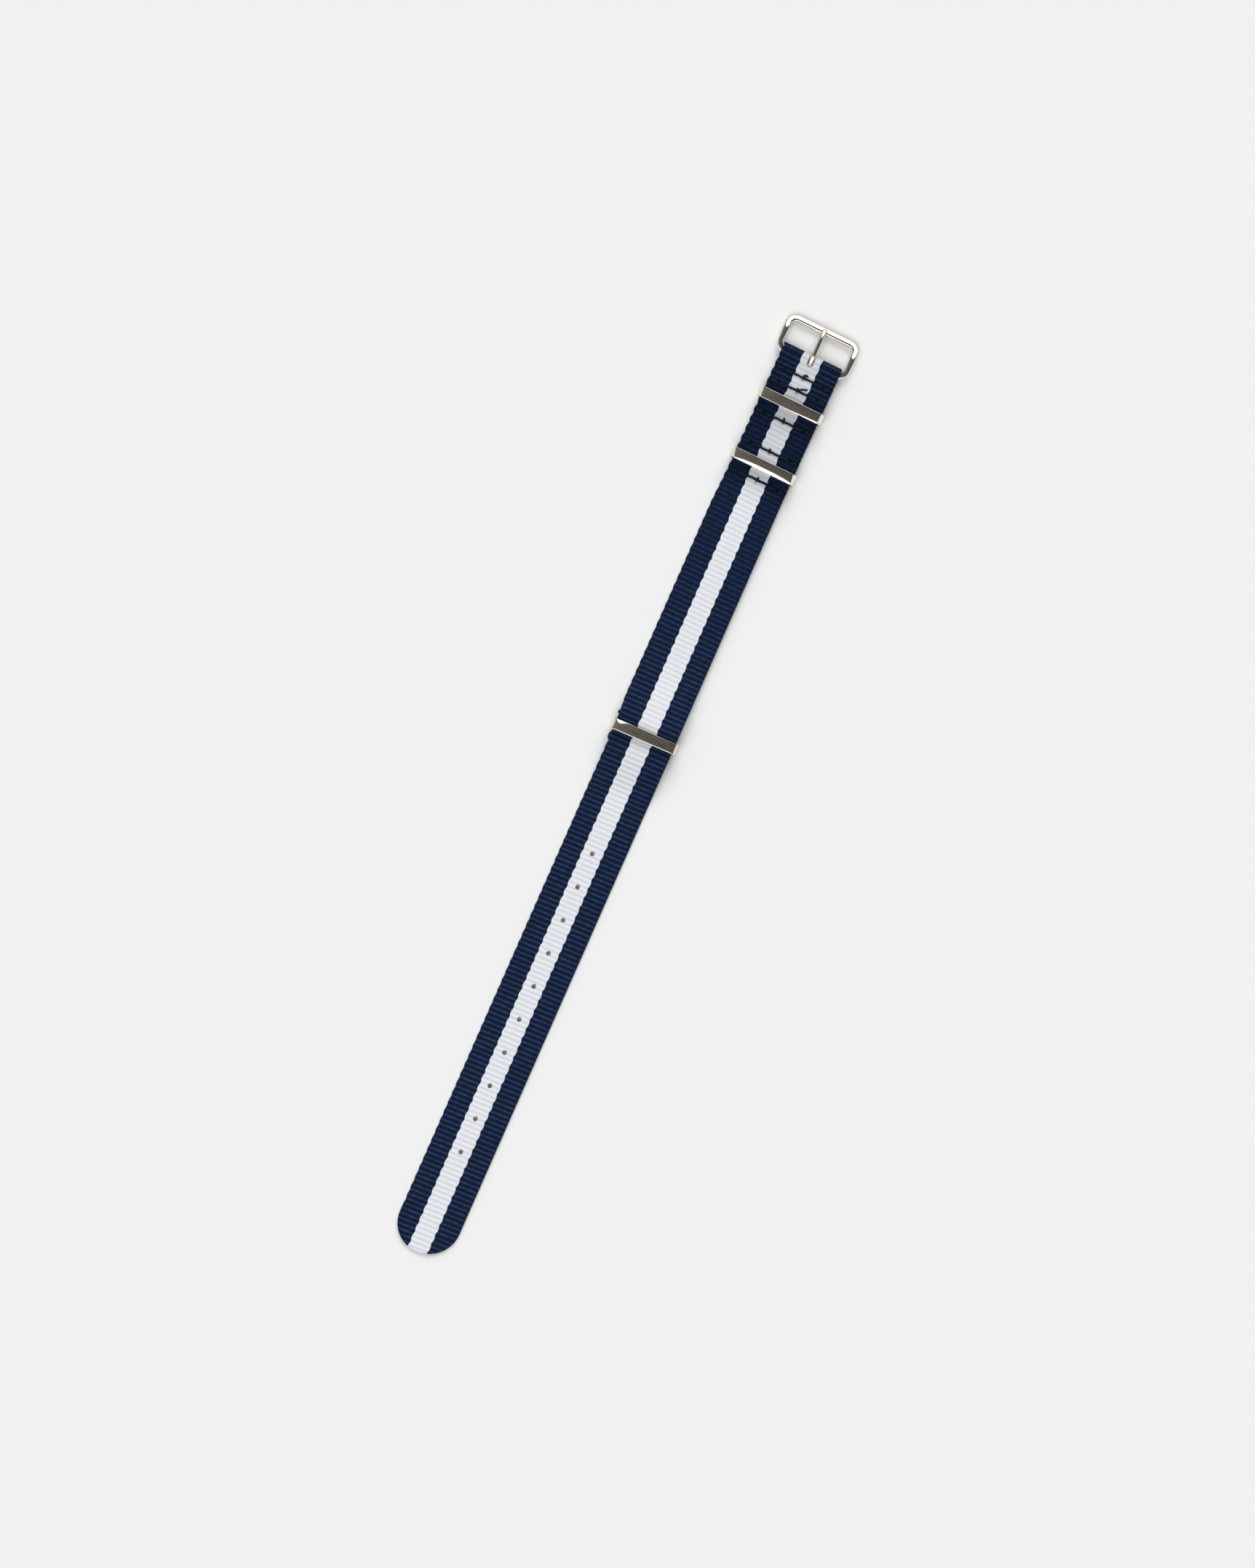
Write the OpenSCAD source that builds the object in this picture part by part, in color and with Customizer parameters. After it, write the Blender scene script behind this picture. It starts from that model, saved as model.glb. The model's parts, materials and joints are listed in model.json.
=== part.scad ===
// Pull-through nylon watch strap with a pin buckle and three metal keepers.
// It lies on its wrist side: +X runs across the strap, +Y points to the buckle, +Z is up.
// Places along the strap are distances from the axis of the buckle's bar towards the tail.
// The webbing is cut into straight lengths that turn on each other where a real strap bends.

/* [Webbing] */
// Width of the webbing
strap_w = 17.7; // [15.7:0.1:23.7]
// Thickness of one layer of webbing
web_t = 1.2; // [1.0:0.05:1.4]
// Slit between two sewn layers of the same piece of webbing
layer_gap = 0.05; // [0.03:0.01:0.1]
// Clearance between two webbing lengths where the strap bends
bend_gap = 0.05; // [0.03:0.01:0.2]

/* [Lengths along the strap] */
// Buckle bar to the first stitch row
row_1_s = 4.5; // [4.2:0.1:6]
// First stitch row to the second one
row_pair_gap = 3.9; // [3:0.1:6]
// Second stitch row to the first keeper's strip, and fourth row to the second keeper's
pocket_lead = 3.1; // [2.8:0.1:5]
// First keeper's strip to the third stitch row
pocket_trail_1 = 3.1; // [2.4:0.1:5]
// Second keeper's strip to the fifth stitch row
pocket_trail_2 = 2.5; // [2.4:0.1:5]
// Third stitch row to the fourth one
middle_l = 9.1; // [7:0.1:14]
// Fifth stitch row to the bend behind the head
head_end_l = 8.7; // [5:0.1:12]
// Bend behind the head to the middle of the end keeper, where the watch sits
seat_l = 68.6; // [55:0.1:85]
// End keeper to the first adjustment hole
hole_lead = 35.5; // [30:0.5:60]
// First stitch row back to the short strap's raw end under the fold
short_lead = 1.3; // [0.9:0.1:1.8]
// Second stitch row to the raw end of the main strap's flap
flap_trail = 1.6; // [1:0.1:2.4]
// Sixth stitch row to the end keeper's strip
turn_lead = 2.1; // [1.9:0.1:4]
// End keeper's strip to the fold of the short strap round it
turn_trail = 1.2; // [0.8:0.1:2]
// Sixth stitch row back to the raw end of the short strap's turned end
turn_flap = 5; // [4:0.5:8]
// Length over which the main strap rises to the end keeper
rise_l = 18.5; // [12:0.5:24]
// Fold of the short strap to the first bend of the tail
drop_l = 17.8; // [15:0.1:25]
// One bend of the tail to the next, before each is set between two holes
tail_step = 40; // [30:1:50]

/* [Adjustment holes] */
// Number of holes
hole_n = 10; // [6:1:12]
// Distance from hole to hole
hole_pitch = 10; // [8:0.5:12]
// Diameter of each hole
hole_d = 1.5; // [1.45:0.05:2]
// Last hole to the tip
tip_l = 30.2; // [24:0.1:40]

/* [Buckle] */
// Radius of the bar that the strap folds round
bar_r = 0.65; // [0.5:0.05:0.8]
// Clearance between the bar and the folded webbing
loop_play = 0.2; // [0.15:0.05:0.4]
// Radius of the far bar that the tongue rests on
far_r = 1.05; // [0.8:0.05:1.3]
// Radius of the side rods at their knee
knee_r = 0.8; // [0.7:0.05:0.95]
// Radius of the rod in the two far corners
corner_rod_r = 0.95; // [0.8:0.05:1.05]
// Gap between the strap's edge and the middle of each side rod
side_gap = 1.25; // [1.1:0.05:2]
// Bend radius of the two corners beside the strap
near_bend_r = 1.8; // [1.6:0.1:2.2]
// Bend radius of the two far corners
far_bend_r = 1.9; // [1.6:0.1:2.4]
// Bar to the knee where the side rods turn down
knee_l = 5.7; // [5:0.1:8]
// Bend radius of the knee
knee_bend_r = 5; // [3:0.5:8]
// Knee to the far bar, along the sloping rods
far_l = 2.9; // [2.6:0.1:5]
// Length of the far bar's taper at each end
far_taper_l = 1.6; // [1:0.1:3]

/* [Tongue] */
// Outer radius of the eye round the bar
eye_r = 1.25; // [1.1:0.05:1.4]
// Width of the eye
eye_w = 1.7; // [1.4:0.1:2]
// Running clearance of the eye on the bar
eye_play = 0.05; // [0.03:0.01:0.1]
// Radius of the tongue at its root
root_r = 0.8; // [0.6:0.05:0.9]
// Radius of the tongue at its tip
tip_rod_r = 0.7; // [0.5:0.05:0.7]
// Length of the rising root
root_l = 3.8; // [3:0.1:5]
// Height of the tongue's level stretch above the bar's axis
tongue_rise = 1.5; // [1.3:0.05:2]
// Slope of the tip that comes down on the far bar
tip_slope = 20; // [15:1:30]
// Gap between the resting tip and the far bar
rest_gap = 0.03; // [0.02:0.01:0.1]
// Clearance of the tongue's slot in the fold on each side
slot_play = 0.15; // [0.1:0.05:0.4]
// Bar to the slot's end in the top layer
slot_top_l = 2.05; // [1.95:0.05:2.4]
// Bar to the slot's end in the bottom layer
slot_bottom_l = 1.4; // [1.35:0.05:1.8]

/* [Keepers] */
// Width of each keeper's strip along the strap
keeper_strip = 3.0; // [2.4:0.1:4]
// Thickness of the strip
keeper_wall = 0.6; // [0.5:0.05:0.8]
// Clearance between a keeper and the strap's edges on each side
keeper_play = 0.15; // [0.1:0.05:0.4]
// Clearance above and below the strip in its webbing pocket
pocket_play = 0.35; // [0.3:0.05:0.6]
// Free height above the strap inside the end keeper, where the tail passes
keeper_free = 1.25; // [1.2:0.05:2.5]
// Bevel on the upper corners of the first two keepers
keeper_bevel = 0.9; // [0.6:0.05:1.1]
// Corner radius of the end keeper
keeper_round = 1.0; // [0.8:0.05:1.2]

/* [Stitching] */
// Radius of the sewing thread
thread_r = 0.26; // [0.2:0.01:0.3]
// Clearance of the thread in its needle holes and grooves
thread_play = 0.02; // [0.01:0.01:0.05]
// Number of stitches in a row
stitch_n = 6; // [4:1:8]
// Outermost needle holes to the strap's edge
stitch_edge = 0.6; // [0.5:0.05:1.5]

/* [Hidden] */
$fn = 64;

navy = [0.07, 0.12, 0.27];
navy_under = [0.06, 0.10, 0.23];
steel = [0.72, 0.70, 0.66];
thread_green = [0.05, 0.12, 0.15];

// Level stretch beside a stitch row, beside a keeper's strip, and where a layer starts to rise
row_land = 0.6;
fold_land = 1;
pocket_slack = 0.2;
over_slack = 0.4;
turn_slack = 0.1;
lap_land = 0.5;
lap_rise = 5.5;
drop_land = 2;

// Heights of the layers, from the wrist side up
pocket_h = keeper_wall + 2 * pocket_play;
pocket_top = web_t + pocket_h;
sewn_top = 2 * web_t + layer_gap;
fold_layer = web_t + layer_gap;
over_z = pocket_top + web_t + layer_gap;

// The fold round the buckle's bar
loop_r = bar_r + loop_play;
bar_z = loop_r + web_t;
short_start_s = row_1_s - short_lead;
flap_end_s = row_1_s + row_pair_gap + flap_trail;

// Places of the stitch rows and keepers along the head
pocket_half = keeper_strip / 2 + pocket_slack;
row_2_s = row_1_s + row_pair_gap;
keeper_1_s = row_2_s + pocket_lead + keeper_strip / 2;
row_3_s = keeper_1_s + keeper_strip / 2 + pocket_trail_1;
row_4_s = row_3_s + middle_l;
keeper_2_s = row_4_s + pocket_lead + keeper_strip / 2;
row_5_s = keeper_2_s + keeper_strip / 2 + pocket_trail_2;
bend_head_s = row_5_s + head_end_l;

// The short strap's fold round the end keeper
keeper_3_s = bend_head_s + seat_l;
row_6_s = keeper_3_s - keeper_strip / 2 - turn_lead;
fold_z = web_t + pocket_h / 2;
fold_r = pocket_h / 2;
fold_s = keeper_3_s + keeper_strip / 2 + turn_trail;
short_flap_s = row_6_s - turn_flap;

// The tail, with its bends halfway between two holes
bend_1_s = fold_s + drop_l;
hole_1_s = keeper_3_s + hole_lead;
hole_last_s = hole_1_s + (hole_n - 1) * hole_pitch;
strap_l = hole_last_s + tip_l;
bend_2_s = between_holes(bend_1_s + tail_step);
bend_3_s = between_holes(bend_2_s + tail_step);

// The buckle's outline, and the origin under the middle of the whole length
side_x = strap_w / 2 + side_gap;
far_drop = bar_z - far_r;
far_slope = atan2(knee_bend_r, far_l)
    + asin((far_drop - knee_bend_r) / norm([far_l, knee_bend_r]));
knee_end = [knee_l + knee_bend_r * sin(far_slope), knee_bend_r * (cos(far_slope) - 1)];
far_y = knee_end[0] + far_l * cos(far_slope);
bar_y = (strap_l - far_y - far_r) / 2;

// The tongue's stations, from the bar's axis
eye_bore_r = bar_r + eye_play;
tip_inset = 0.1;
tip_reach = far_y + far_r - tip_rod_r - tip_inset;
rest_r = far_r + tip_rod_r + rest_gap;
tip_foot = [far_y + rest_r * sin(tip_slope), rest_r * cos(tip_slope) - far_drop];
tip_start = [tip_foot[0] - (tongue_rise - tip_foot[1]) / tan(tip_slope), tongue_rise];
tip_end = [tip_reach, tip_foot[1] + (tip_foot[0] - tip_reach) * tan(tip_slope)];

// The keepers' rings
keeper_z = web_t + pocket_play;
keeper_in_w = strap_w + 2 * keeper_play;
keeper_in_h = pocket_play + 2 * web_t + layer_gap + keeper_free;
keeper_out_w = keeper_in_w + 2 * keeper_wall;
keeper_out_h = keeper_in_h + 2 * keeper_wall;
inner_edge = 0.01;

// Joining balls stand this much proud of their rods, and the root is sunk in the eye's wall
ball_proud = 0.02;
root_sink = 0.45;

needle_hole_r = thread_r + thread_play;
wrist_gap = 0.01;
float_z = thread_r + wrist_gap;

// How far a cutter reaches past what it cuts
cut = 1;

// Underside of the main strap's upper layer, and of its flap under the head
over_s = keeper_3_s - pocket_half - over_slack;
main_under = [
    [0, bar_z + loop_r], [row_1_s - fold_land, sewn_top], [row_2_s + row_land, sewn_top],
    [keeper_1_s - pocket_half, pocket_top], [keeper_1_s + pocket_half, pocket_top],
    [row_3_s - row_land, web_t], [row_4_s + row_land, web_t],
    [keeper_2_s - pocket_half, pocket_top], [keeper_2_s + pocket_half, pocket_top],
    [row_5_s - row_land, web_t], [over_s - rise_l, web_t],
    [over_s, over_z], [fold_s + fold_r, over_z],
    [bend_1_s - drop_land, 0], [strap_l, 0]
];
flap_under = [[0, 0], [short_start_s, web_t], [flap_end_s, web_t]];
short_under = [
    [short_start_s, 0], [short_flap_s - lap_land - lap_rise, 0],
    [short_flap_s - lap_land, fold_layer], [row_6_s + row_land, fold_layer],
    [keeper_3_s - pocket_half + turn_slack, pocket_top],
    [fold_s, pocket_top]
];

// A smooth step, the height of a layer at one place, and the places where it is drawn
ramp_steps = 8;
function between_holes(s) =
    hole_1_s + (round((s - hole_1_s) / hole_pitch - 0.5) + 0.5) * hole_pitch;
function ease(u) = u <= 0 ? 0 : u >= 1 ? 1 : u * u * (3 - 2 * u);
function total(v) = v * [for (x = v) 1];
function height(s, stations) = stations[0][1] + total([
    for (i = [1:len(stations) - 1])
        (stations[i][1] - stations[i - 1][1])
        * ease((s - stations[i - 1][0]) / (stations[i][0] - stations[i - 1][0]))
]);
function places(from, to, stations) = concat([from], [
    for (i = [1:len(stations) - 1])
        let (a = stations[i - 1], b = stations[i], n = a[1] == b[1] ? 1 : ramp_steps)
            for (k = [0:n - 1])
                let (s = a[0] + (b[0] - a[0]) * k / n)
                    if (s > from && s < to) s
], [to]);

// The outline of a layer between two places, in Y and Z, extruded across the strap
module layer(from, to, stations) {
    s_list = places(from, to, stations);
    under = [for (s = s_list) [-s, height(s, stations)]];
    last = len(s_list) - 1;
    over = [for (i = [last:-1:0]) [under[i][0], under[i][1] + web_t]];
    polygon(concat(under, over));
}

// Moves what is placed from the bar's axis to where it lies over the origin
module from_bar() {
    translate([0, bar_y, 0])
        children();
}

module across(w) {
    rotate([90, 0, 90])
        linear_extrude(height = w, center = true)
            children();
}

// A half ring of webbing round a centre; side is 1 towards the buckle and -1 towards the tail
module fold(s, z, r_in, side) {
    r_out = r_in + web_t;
    translate([-s, z])
        intersection() {
            difference() {
                circle(r_out);
                circle(r_in);
            }
            translate([side > 0 ? 0 : -2 * r_out, -r_out - cut])
                square([2 * r_out, 2 * (r_out + cut)]);
        }
}

// Round end of a webbing length, centred on the axis that it turns on; side is as for a fold
module nose(s, axis_z, r, z_low, z_high, side) {
    translate([-s, 0])
        intersection() {
            translate([0, axis_z])
                circle(r);
            translate([side > 0 ? 0 : -2 * r, z_low])
                square([2 * r, z_high - z_low]);
        }
}

// Needle holes of one stitch row
function needle_x() = [
    for (i = [0:stitch_n])
        (strap_w / 2 - stitch_edge) * (2 * i / stitch_n - 1)
];

module needle_holes(s) {
    for (x = needle_x())
        translate([x, -s, -cut])
            cylinder(h = over_z + 2 * web_t + cut, r = needle_hole_r);
}

// Groove in the wrist side that keeps the bobbin thread off the wrist
module thread_groove(s) {
    half = strap_w / 2 - stitch_edge + needle_hole_r;
    translate([0, -s, float_z])
        rotate([0, 90, 0])
            cylinder(h = 2 * half, r = needle_hole_r, center = true);
    translate([-half, -s - needle_hole_r, -cut])
        cube([2 * half, 2 * needle_hole_r, cut + float_z]);
}

// One thread: a float across the strap and a leg down or up to the knot in each needle hole
module thread(s, z_float, z_knot) {
    half = strap_w / 2 - stitch_edge;
    low = min(z_float, z_knot);
    translate([0, -s, 0]) {
        translate([0, 0, z_float])
            rotate([0, 90, 0])
                cylinder(h = 2 * half, r = thread_r, center = true);
        for (x = [-half, half])
            translate([x, 0, z_float])
                sphere(thread_r);
        for (x = needle_x())
            translate([x, 0, low])
                cylinder(h = abs(z_float - z_knot), r = thread_r);
    }
}

module needle_thread(s, z_top) {
    color(thread_green)
        from_bar()
            thread(s, z_top + thread_r, z_top / 2);
}

module bobbin_thread(s, z_top) {
    color(thread_green)
        from_bar()
            thread(s, float_z, z_top / 2);
}

// A round rod between two points of the tongue's middle plane, and a ball that joins two rods
module rod(a, b, r1, r2) {
    slope = atan2(b[1] - a[1], b[0] - a[0]);
    translate([0, a[0], a[1]])
        rotate([slope - 90, 0, 0])
            cylinder(h = norm(b - a), r1 = r1, r2 = r2);
}

module ball(a, r) {
    translate([0, a[0], a[1]])
        sphere(r + ball_proud);
}

// One length of the tail with its adjustment holes; the far end is flat or the rounded tip
module tail_length(from, to, is_tip) {
    nose_r = web_t / 2;
    end_s = is_tip ? to - strap_w / 2 : to - nose_r - bend_gap;
    difference() {
        union() {
            across(strap_w)
                layer(from, end_s, [[0, 0], [strap_l, 0]]);
            across(strap_w)
                nose(from, nose_r, nose_r, 0, web_t, 1);
            if (is_tip)
                intersection() {
                    translate([0, -end_s, 0])
                        cylinder(h = web_t, r = strap_w / 2);
                    across(2 * strap_w)
                        layer(end_s, strap_l + cut, [[0, 0], [2 * strap_l, 0]]);
                }
        }
        for (i = [0:hole_n - 1])
            let (s = hole_1_s + i * hole_pitch)
                if (s > from && s < to)
                    translate([0, -s, -cut])
                        cylinder(h = web_t + 2 * cut, d = hole_d);
    }
}

// The slot that the tongue swings in
module tongue_slot() {
    half = eye_w / 2 + slot_play;
    front = loop_r + web_t + cut;
    for (end = [[slot_top_l, bar_z, 4 * web_t + cut], [slot_bottom_l, -cut, bar_z + cut]])
        translate([0, half - end[0], end[1]]) {
            cylinder(h = end[2], r = half);
            translate([-half, 0, 0])
                cube([2 * half, front + end[0] - half, end[2]]);
        }
}

// Main strap from its flap, round the bar and over both sewn-in keepers
module main_strap_head() {
    color(navy)
        from_bar()
            difference() {
                union() {
                    across(strap_w)
                        layer(0, bend_head_s, main_under);
                    across(strap_w)
                        layer(0, flap_end_s, flap_under);
                    across(strap_w)
                        fold(0, bar_z, loop_r, 1);
                    across(strap_w)
                        nose(bend_head_s, web_t, web_t, web_t, 2 * web_t, -1);
                }
                tongue_slot();
                for (s = [row_1_s, row_2_s, row_3_s, row_4_s, row_5_s])
                    needle_holes(s);
            }
}

// Main strap where the watch sits, then over the short strap and through the end keeper
module main_strap_seat() {
    end_s = bend_1_s - web_t / 2 - bend_gap;
    color(navy)
        from_bar()
            across(strap_w)
                layer(bend_head_s + web_t + bend_gap, end_s, main_under);
}

module main_strap_tail_1() {
    color(navy)
        from_bar()
            tail_length(bend_1_s, bend_2_s, false);
}

module main_strap_tail_2() {
    color(navy)
        from_bar()
            tail_length(bend_2_s, bend_3_s, false);
}

module main_strap_tail_3() {
    color(navy)
        from_bar()
            tail_length(bend_3_s, strap_l, true);
}

// Short strap sewn beneath the head
module short_strap_head() {
    color(navy_under)
        from_bar()
            difference() {
                union() {
                    across(strap_w)
                        layer(short_start_s, bend_head_s, short_under);
                    across(strap_w)
                        nose(bend_head_s, web_t, web_t, 0, web_t, -1);
                }
                for (s = [row_1_s, row_2_s, row_3_s, row_4_s, row_5_s]) {
                    needle_holes(s);
                    thread_groove(s);
                }
            }
}

// Short strap under the watch, folded round the end keeper and sewn to itself
module short_strap_seat() {
    flap = [[short_flap_s, 0], [fold_s, 0]];
    color(navy_under)
        from_bar()
            difference() {
                union() {
                    across(strap_w)
                        layer(bend_head_s + web_t + bend_gap, fold_s, short_under);
                    across(strap_w)
                        layer(short_flap_s, fold_s, flap);
                    across(strap_w)
                        fold(fold_s, fold_z, fold_r, -1);
                }
                needle_holes(row_6_s);
                thread_groove(row_6_s);
            }
}

// A straight tapered rod of the frame along +X or +Y
module frame_rod(x, y, along_x, l, r1, r2) {
    translate([x, y, 0])
        rotate(along_x ? [0, 90, 0] : [-90, 0, 0])
            cylinder(h = l, r1 = r1, r2 = r2);
}

// A quarter bend in the frame's plane, from the direction turn to turn + 90 degrees
module corner(x, y, bend_r, r, turn) {
    translate([x, y, 0])
        rotate([0, 0, turn])
            rotate_extrude(angle = 90)
                translate([bend_r, 0])
                    circle(r);
}

// Half of the frame: bar, near corner, side, knee, sloping rod, far corner, taper and far bar
module frame_half() {
    near_half = side_x - near_bend_r;
    far_half = side_x - far_bend_r;
    frame_rod(0, 0, true, near_half, bar_r, bar_r);
    corner(near_half, near_bend_r, near_bend_r, bar_r, -90);
    frame_rod(side_x, near_bend_r, false, knee_l - near_bend_r, bar_r, knee_r);
    translate([side_x, knee_l, -knee_bend_r])
        rotate([0, -90, 0])
            rotate_extrude(angle = far_slope)
                translate([knee_bend_r, 0])
                    circle(knee_r);
    translate([0, knee_end[0], knee_end[1]])
        rotate([-far_slope, 0, 0]) {
            frame_rod(side_x, 0, false, far_l - far_bend_r, knee_r, corner_rod_r);
            corner(far_half, far_l - far_bend_r, far_bend_r, corner_rod_r, 0);
            frame_rod(far_half - far_taper_l, far_l, true, far_taper_l, far_r, corner_rod_r);
            frame_rod(0, far_l, true, far_half - far_taper_l, far_r, far_r);
        }
}

// Buckle frame bent from one rod, with the bar inside the fold and the far bar on the table
module buckle_frame() {
    color(steel)
        from_bar()
            translate([0, 0, bar_z]) {
                frame_half();
                mirror([1, 0, 0])
                    frame_half();
            }
}

// Tongue: an eye on the bar, a rising root, a level stretch and a tip on the far bar
module buckle_tongue() {
    root_start = [0, (eye_r + eye_bore_r) / 2 - root_sink];
    root_end = [root_l, tongue_rise];
    color(steel)
        from_bar()
            translate([0, 0, bar_z])
                difference() {
                    union() {
                        rotate([0, 90, 0])
                            cylinder(h = eye_w, r = eye_r, center = true);
                        rod(root_start, root_end, root_r, root_r);
                        ball(root_end, root_r);
                        rod(root_end, tip_start, root_r, tip_rod_r);
                        ball(tip_start, tip_rod_r);
                        rod(tip_start, tip_end, tip_rod_r, tip_rod_r);
                        ball(tip_end, tip_rod_r);
                    }
                    rotate([0, 90, 0])
                        cylinder(h = eye_w + 2 * cut, r = eye_bore_r, center = true);
                }
}

// A rectangle on the base line with bevelled lower and upper corners
module bevelled(w, h, low, high) {
    x = w / 2;
    polygon([
        [low - x, 0], [x - low, 0], [x, low], [x, h - high],
        [x - high, h], [high - x, h], [-x, h - high], [-x, low]
    ]);
}

// A rectangle on the base line with round corners
module rounded(w, h, r) {
    translate([-w / 2, r])
        square([w, h - 2 * r]);
    translate([r - w / 2, 0])
        square([w - 2 * r, h]);
    for (x = [r - w / 2, w / 2 - r])
        for (z = [r, h - r])
            translate([x, z])
                circle(r);
}

// A keeper's strip, bent to the outline given less the window that the strap passes through
module keeper_ring(s) {
    color(steel)
        from_bar()
            translate([0, -s, keeper_z])
                rotate([90, 0, 0])
                    linear_extrude(height = keeper_strip, center = true)
                        children();
}

module bevelled_keeper(s) {
    keeper_ring(s)
        difference() {
            bevelled(keeper_out_w, keeper_out_h, keeper_wall / 2, keeper_bevel);
            translate([0, keeper_wall])
                bevelled(keeper_in_w, keeper_in_h, inner_edge, keeper_bevel * 0.6);
        }
}

module first_keeper() {
    bevelled_keeper(keeper_1_s);
}

module second_keeper() {
    bevelled_keeper(keeper_2_s);
}

module end_keeper() {
    keeper_ring(keeper_3_s)
        difference() {
            rounded(keeper_out_w, keeper_out_h, keeper_round);
            translate([0, keeper_wall])
                bevelled(keeper_in_w, keeper_in_h, inner_edge, keeper_round * 0.5);
        }
}

module stitch_1_needle_thread() {
    needle_thread(row_1_s, sewn_top + web_t);
}

module stitch_2_needle_thread() {
    needle_thread(row_2_s, sewn_top + web_t);
}

module stitch_3_needle_thread() {
    needle_thread(row_3_s, 2 * web_t);
}

module stitch_4_needle_thread() {
    needle_thread(row_4_s, 2 * web_t);
}

module stitch_5_needle_thread() {
    needle_thread(row_5_s, 2 * web_t);
}

module stitch_6_needle_thread() {
    needle_thread(row_6_s, fold_layer + web_t);
}

module stitch_1_bobbin_thread() {
    bobbin_thread(row_1_s, sewn_top + web_t);
}

module stitch_2_bobbin_thread() {
    bobbin_thread(row_2_s, sewn_top + web_t);
}

module stitch_3_bobbin_thread() {
    bobbin_thread(row_3_s, 2 * web_t);
}

module stitch_4_bobbin_thread() {
    bobbin_thread(row_4_s, 2 * web_t);
}

module stitch_5_bobbin_thread() {
    bobbin_thread(row_5_s, 2 * web_t);
}

module stitch_6_bobbin_thread() {
    bobbin_thread(row_6_s, fold_layer + web_t);
}

main_strap_head();
main_strap_seat();
main_strap_tail_1();
main_strap_tail_2();
main_strap_tail_3();
short_strap_head();
short_strap_seat();
buckle_frame();
buckle_tongue();
first_keeper();
second_keeper();
end_keeper();
stitch_1_needle_thread();
stitch_2_needle_thread();
stitch_3_needle_thread();
stitch_4_needle_thread();
stitch_5_needle_thread();
stitch_6_needle_thread();
stitch_1_bobbin_thread();
stitch_2_bobbin_thread();
stitch_3_bobbin_thread();
stitch_4_bobbin_thread();
stitch_5_bobbin_thread();
stitch_6_bobbin_thread();
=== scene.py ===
"""Nylon watch strap: the woven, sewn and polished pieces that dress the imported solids.

The settings are in metres. Inside the pieces lengths are in millimetres: x across the strap,
s along it from the axis of the buckle's bar towards the tip, and z up from the wrist side.
"""

import json
import math

import bpy
import numpy as np
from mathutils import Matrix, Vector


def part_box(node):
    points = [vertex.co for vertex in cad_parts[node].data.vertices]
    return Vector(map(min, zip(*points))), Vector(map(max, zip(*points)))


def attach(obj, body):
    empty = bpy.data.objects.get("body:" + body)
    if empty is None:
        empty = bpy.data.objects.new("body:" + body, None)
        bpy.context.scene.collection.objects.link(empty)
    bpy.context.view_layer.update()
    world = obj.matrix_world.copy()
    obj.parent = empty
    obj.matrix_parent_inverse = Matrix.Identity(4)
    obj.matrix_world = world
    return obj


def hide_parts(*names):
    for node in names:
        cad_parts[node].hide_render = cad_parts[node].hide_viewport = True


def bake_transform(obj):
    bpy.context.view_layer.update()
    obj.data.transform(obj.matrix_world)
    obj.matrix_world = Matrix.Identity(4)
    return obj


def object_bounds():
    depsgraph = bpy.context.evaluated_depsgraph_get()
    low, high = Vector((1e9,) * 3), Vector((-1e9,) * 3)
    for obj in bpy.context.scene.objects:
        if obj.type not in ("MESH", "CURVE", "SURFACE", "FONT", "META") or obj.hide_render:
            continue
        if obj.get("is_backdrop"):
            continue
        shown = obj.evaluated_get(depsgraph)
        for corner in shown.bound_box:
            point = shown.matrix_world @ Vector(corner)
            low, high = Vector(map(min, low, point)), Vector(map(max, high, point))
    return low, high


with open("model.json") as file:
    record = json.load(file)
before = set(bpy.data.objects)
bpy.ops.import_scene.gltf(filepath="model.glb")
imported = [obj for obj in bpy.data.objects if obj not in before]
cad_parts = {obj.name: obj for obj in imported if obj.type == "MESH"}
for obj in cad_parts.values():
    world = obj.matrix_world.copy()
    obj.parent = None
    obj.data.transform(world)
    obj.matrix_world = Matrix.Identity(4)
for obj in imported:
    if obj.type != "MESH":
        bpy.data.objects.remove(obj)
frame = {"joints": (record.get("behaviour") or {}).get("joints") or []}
cad_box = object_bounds()

bl_info = {
    "name": "Nylon watch strap",
    "version": (1, 0, 0),
    "blender": (4, 5, 0),
    "location": "3D View > Sidebar > Watch strap",
    "description": "Weaves, sews and polishes a pull-through nylon watch strap",
    "category": "Object",
}

MM = 0.001


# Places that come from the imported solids

def node_span(node, axis):
    """Lowest and highest place of a solid along one axis, in millimetres."""
    low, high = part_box(node)
    return low[axis] / MM, high[axis] / MM


PIVOTS = {j["name"]: [c / MM for c in j["pos_m"]] for j in frame["joints"]}
BAR_Y, BAR_Z = PIVOTS["buckle_pivot"][1:]


def middle_s(node):
    """Distance of a solid's middle from the bar, towards the tip."""
    return BAR_Y - sum(node_span(node, 1)) / 2


ROWS = [middle_s(f"stitch_{i}_needle_thread") for i in range(1, 7)]
KEEPERS = [middle_s(name) for name in ("first_keeper", "second_keeper", "end_keeper")]
BENDS = {name: BAR_Y - PIVOTS[name][1] for name in PIVOTS if "bend" in name}
WEB_T = node_span("main_strap_tail_3", 2)[1]
HALF_W = node_span("main_strap_tail_3", 0)[1]
TIP_S = BAR_Y - node_span("main_strap_tail_3", 1)[0]

# Inner radius of the fold round the bar
LOOP_R = BAR_Z - WEB_T

# Underside of a layer that lies on two others, and of one that lies on one other
SEWN_TOP, LAP_Z = 2 * WEB_T + 0.05, WEB_T + 0.05

# Underside of the cloth over a keeper in its pocket and over the end keeper; a pocket's half length
POCKET_TOP, OVER_Z, POCKET_HALF = 2.5, 3.75, 1.7

# Centre and inner radius of the fold round the end keeper
FOLD_S, FOLD_Z, FOLD_R = 115.3, 1.85, 0.65

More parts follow.
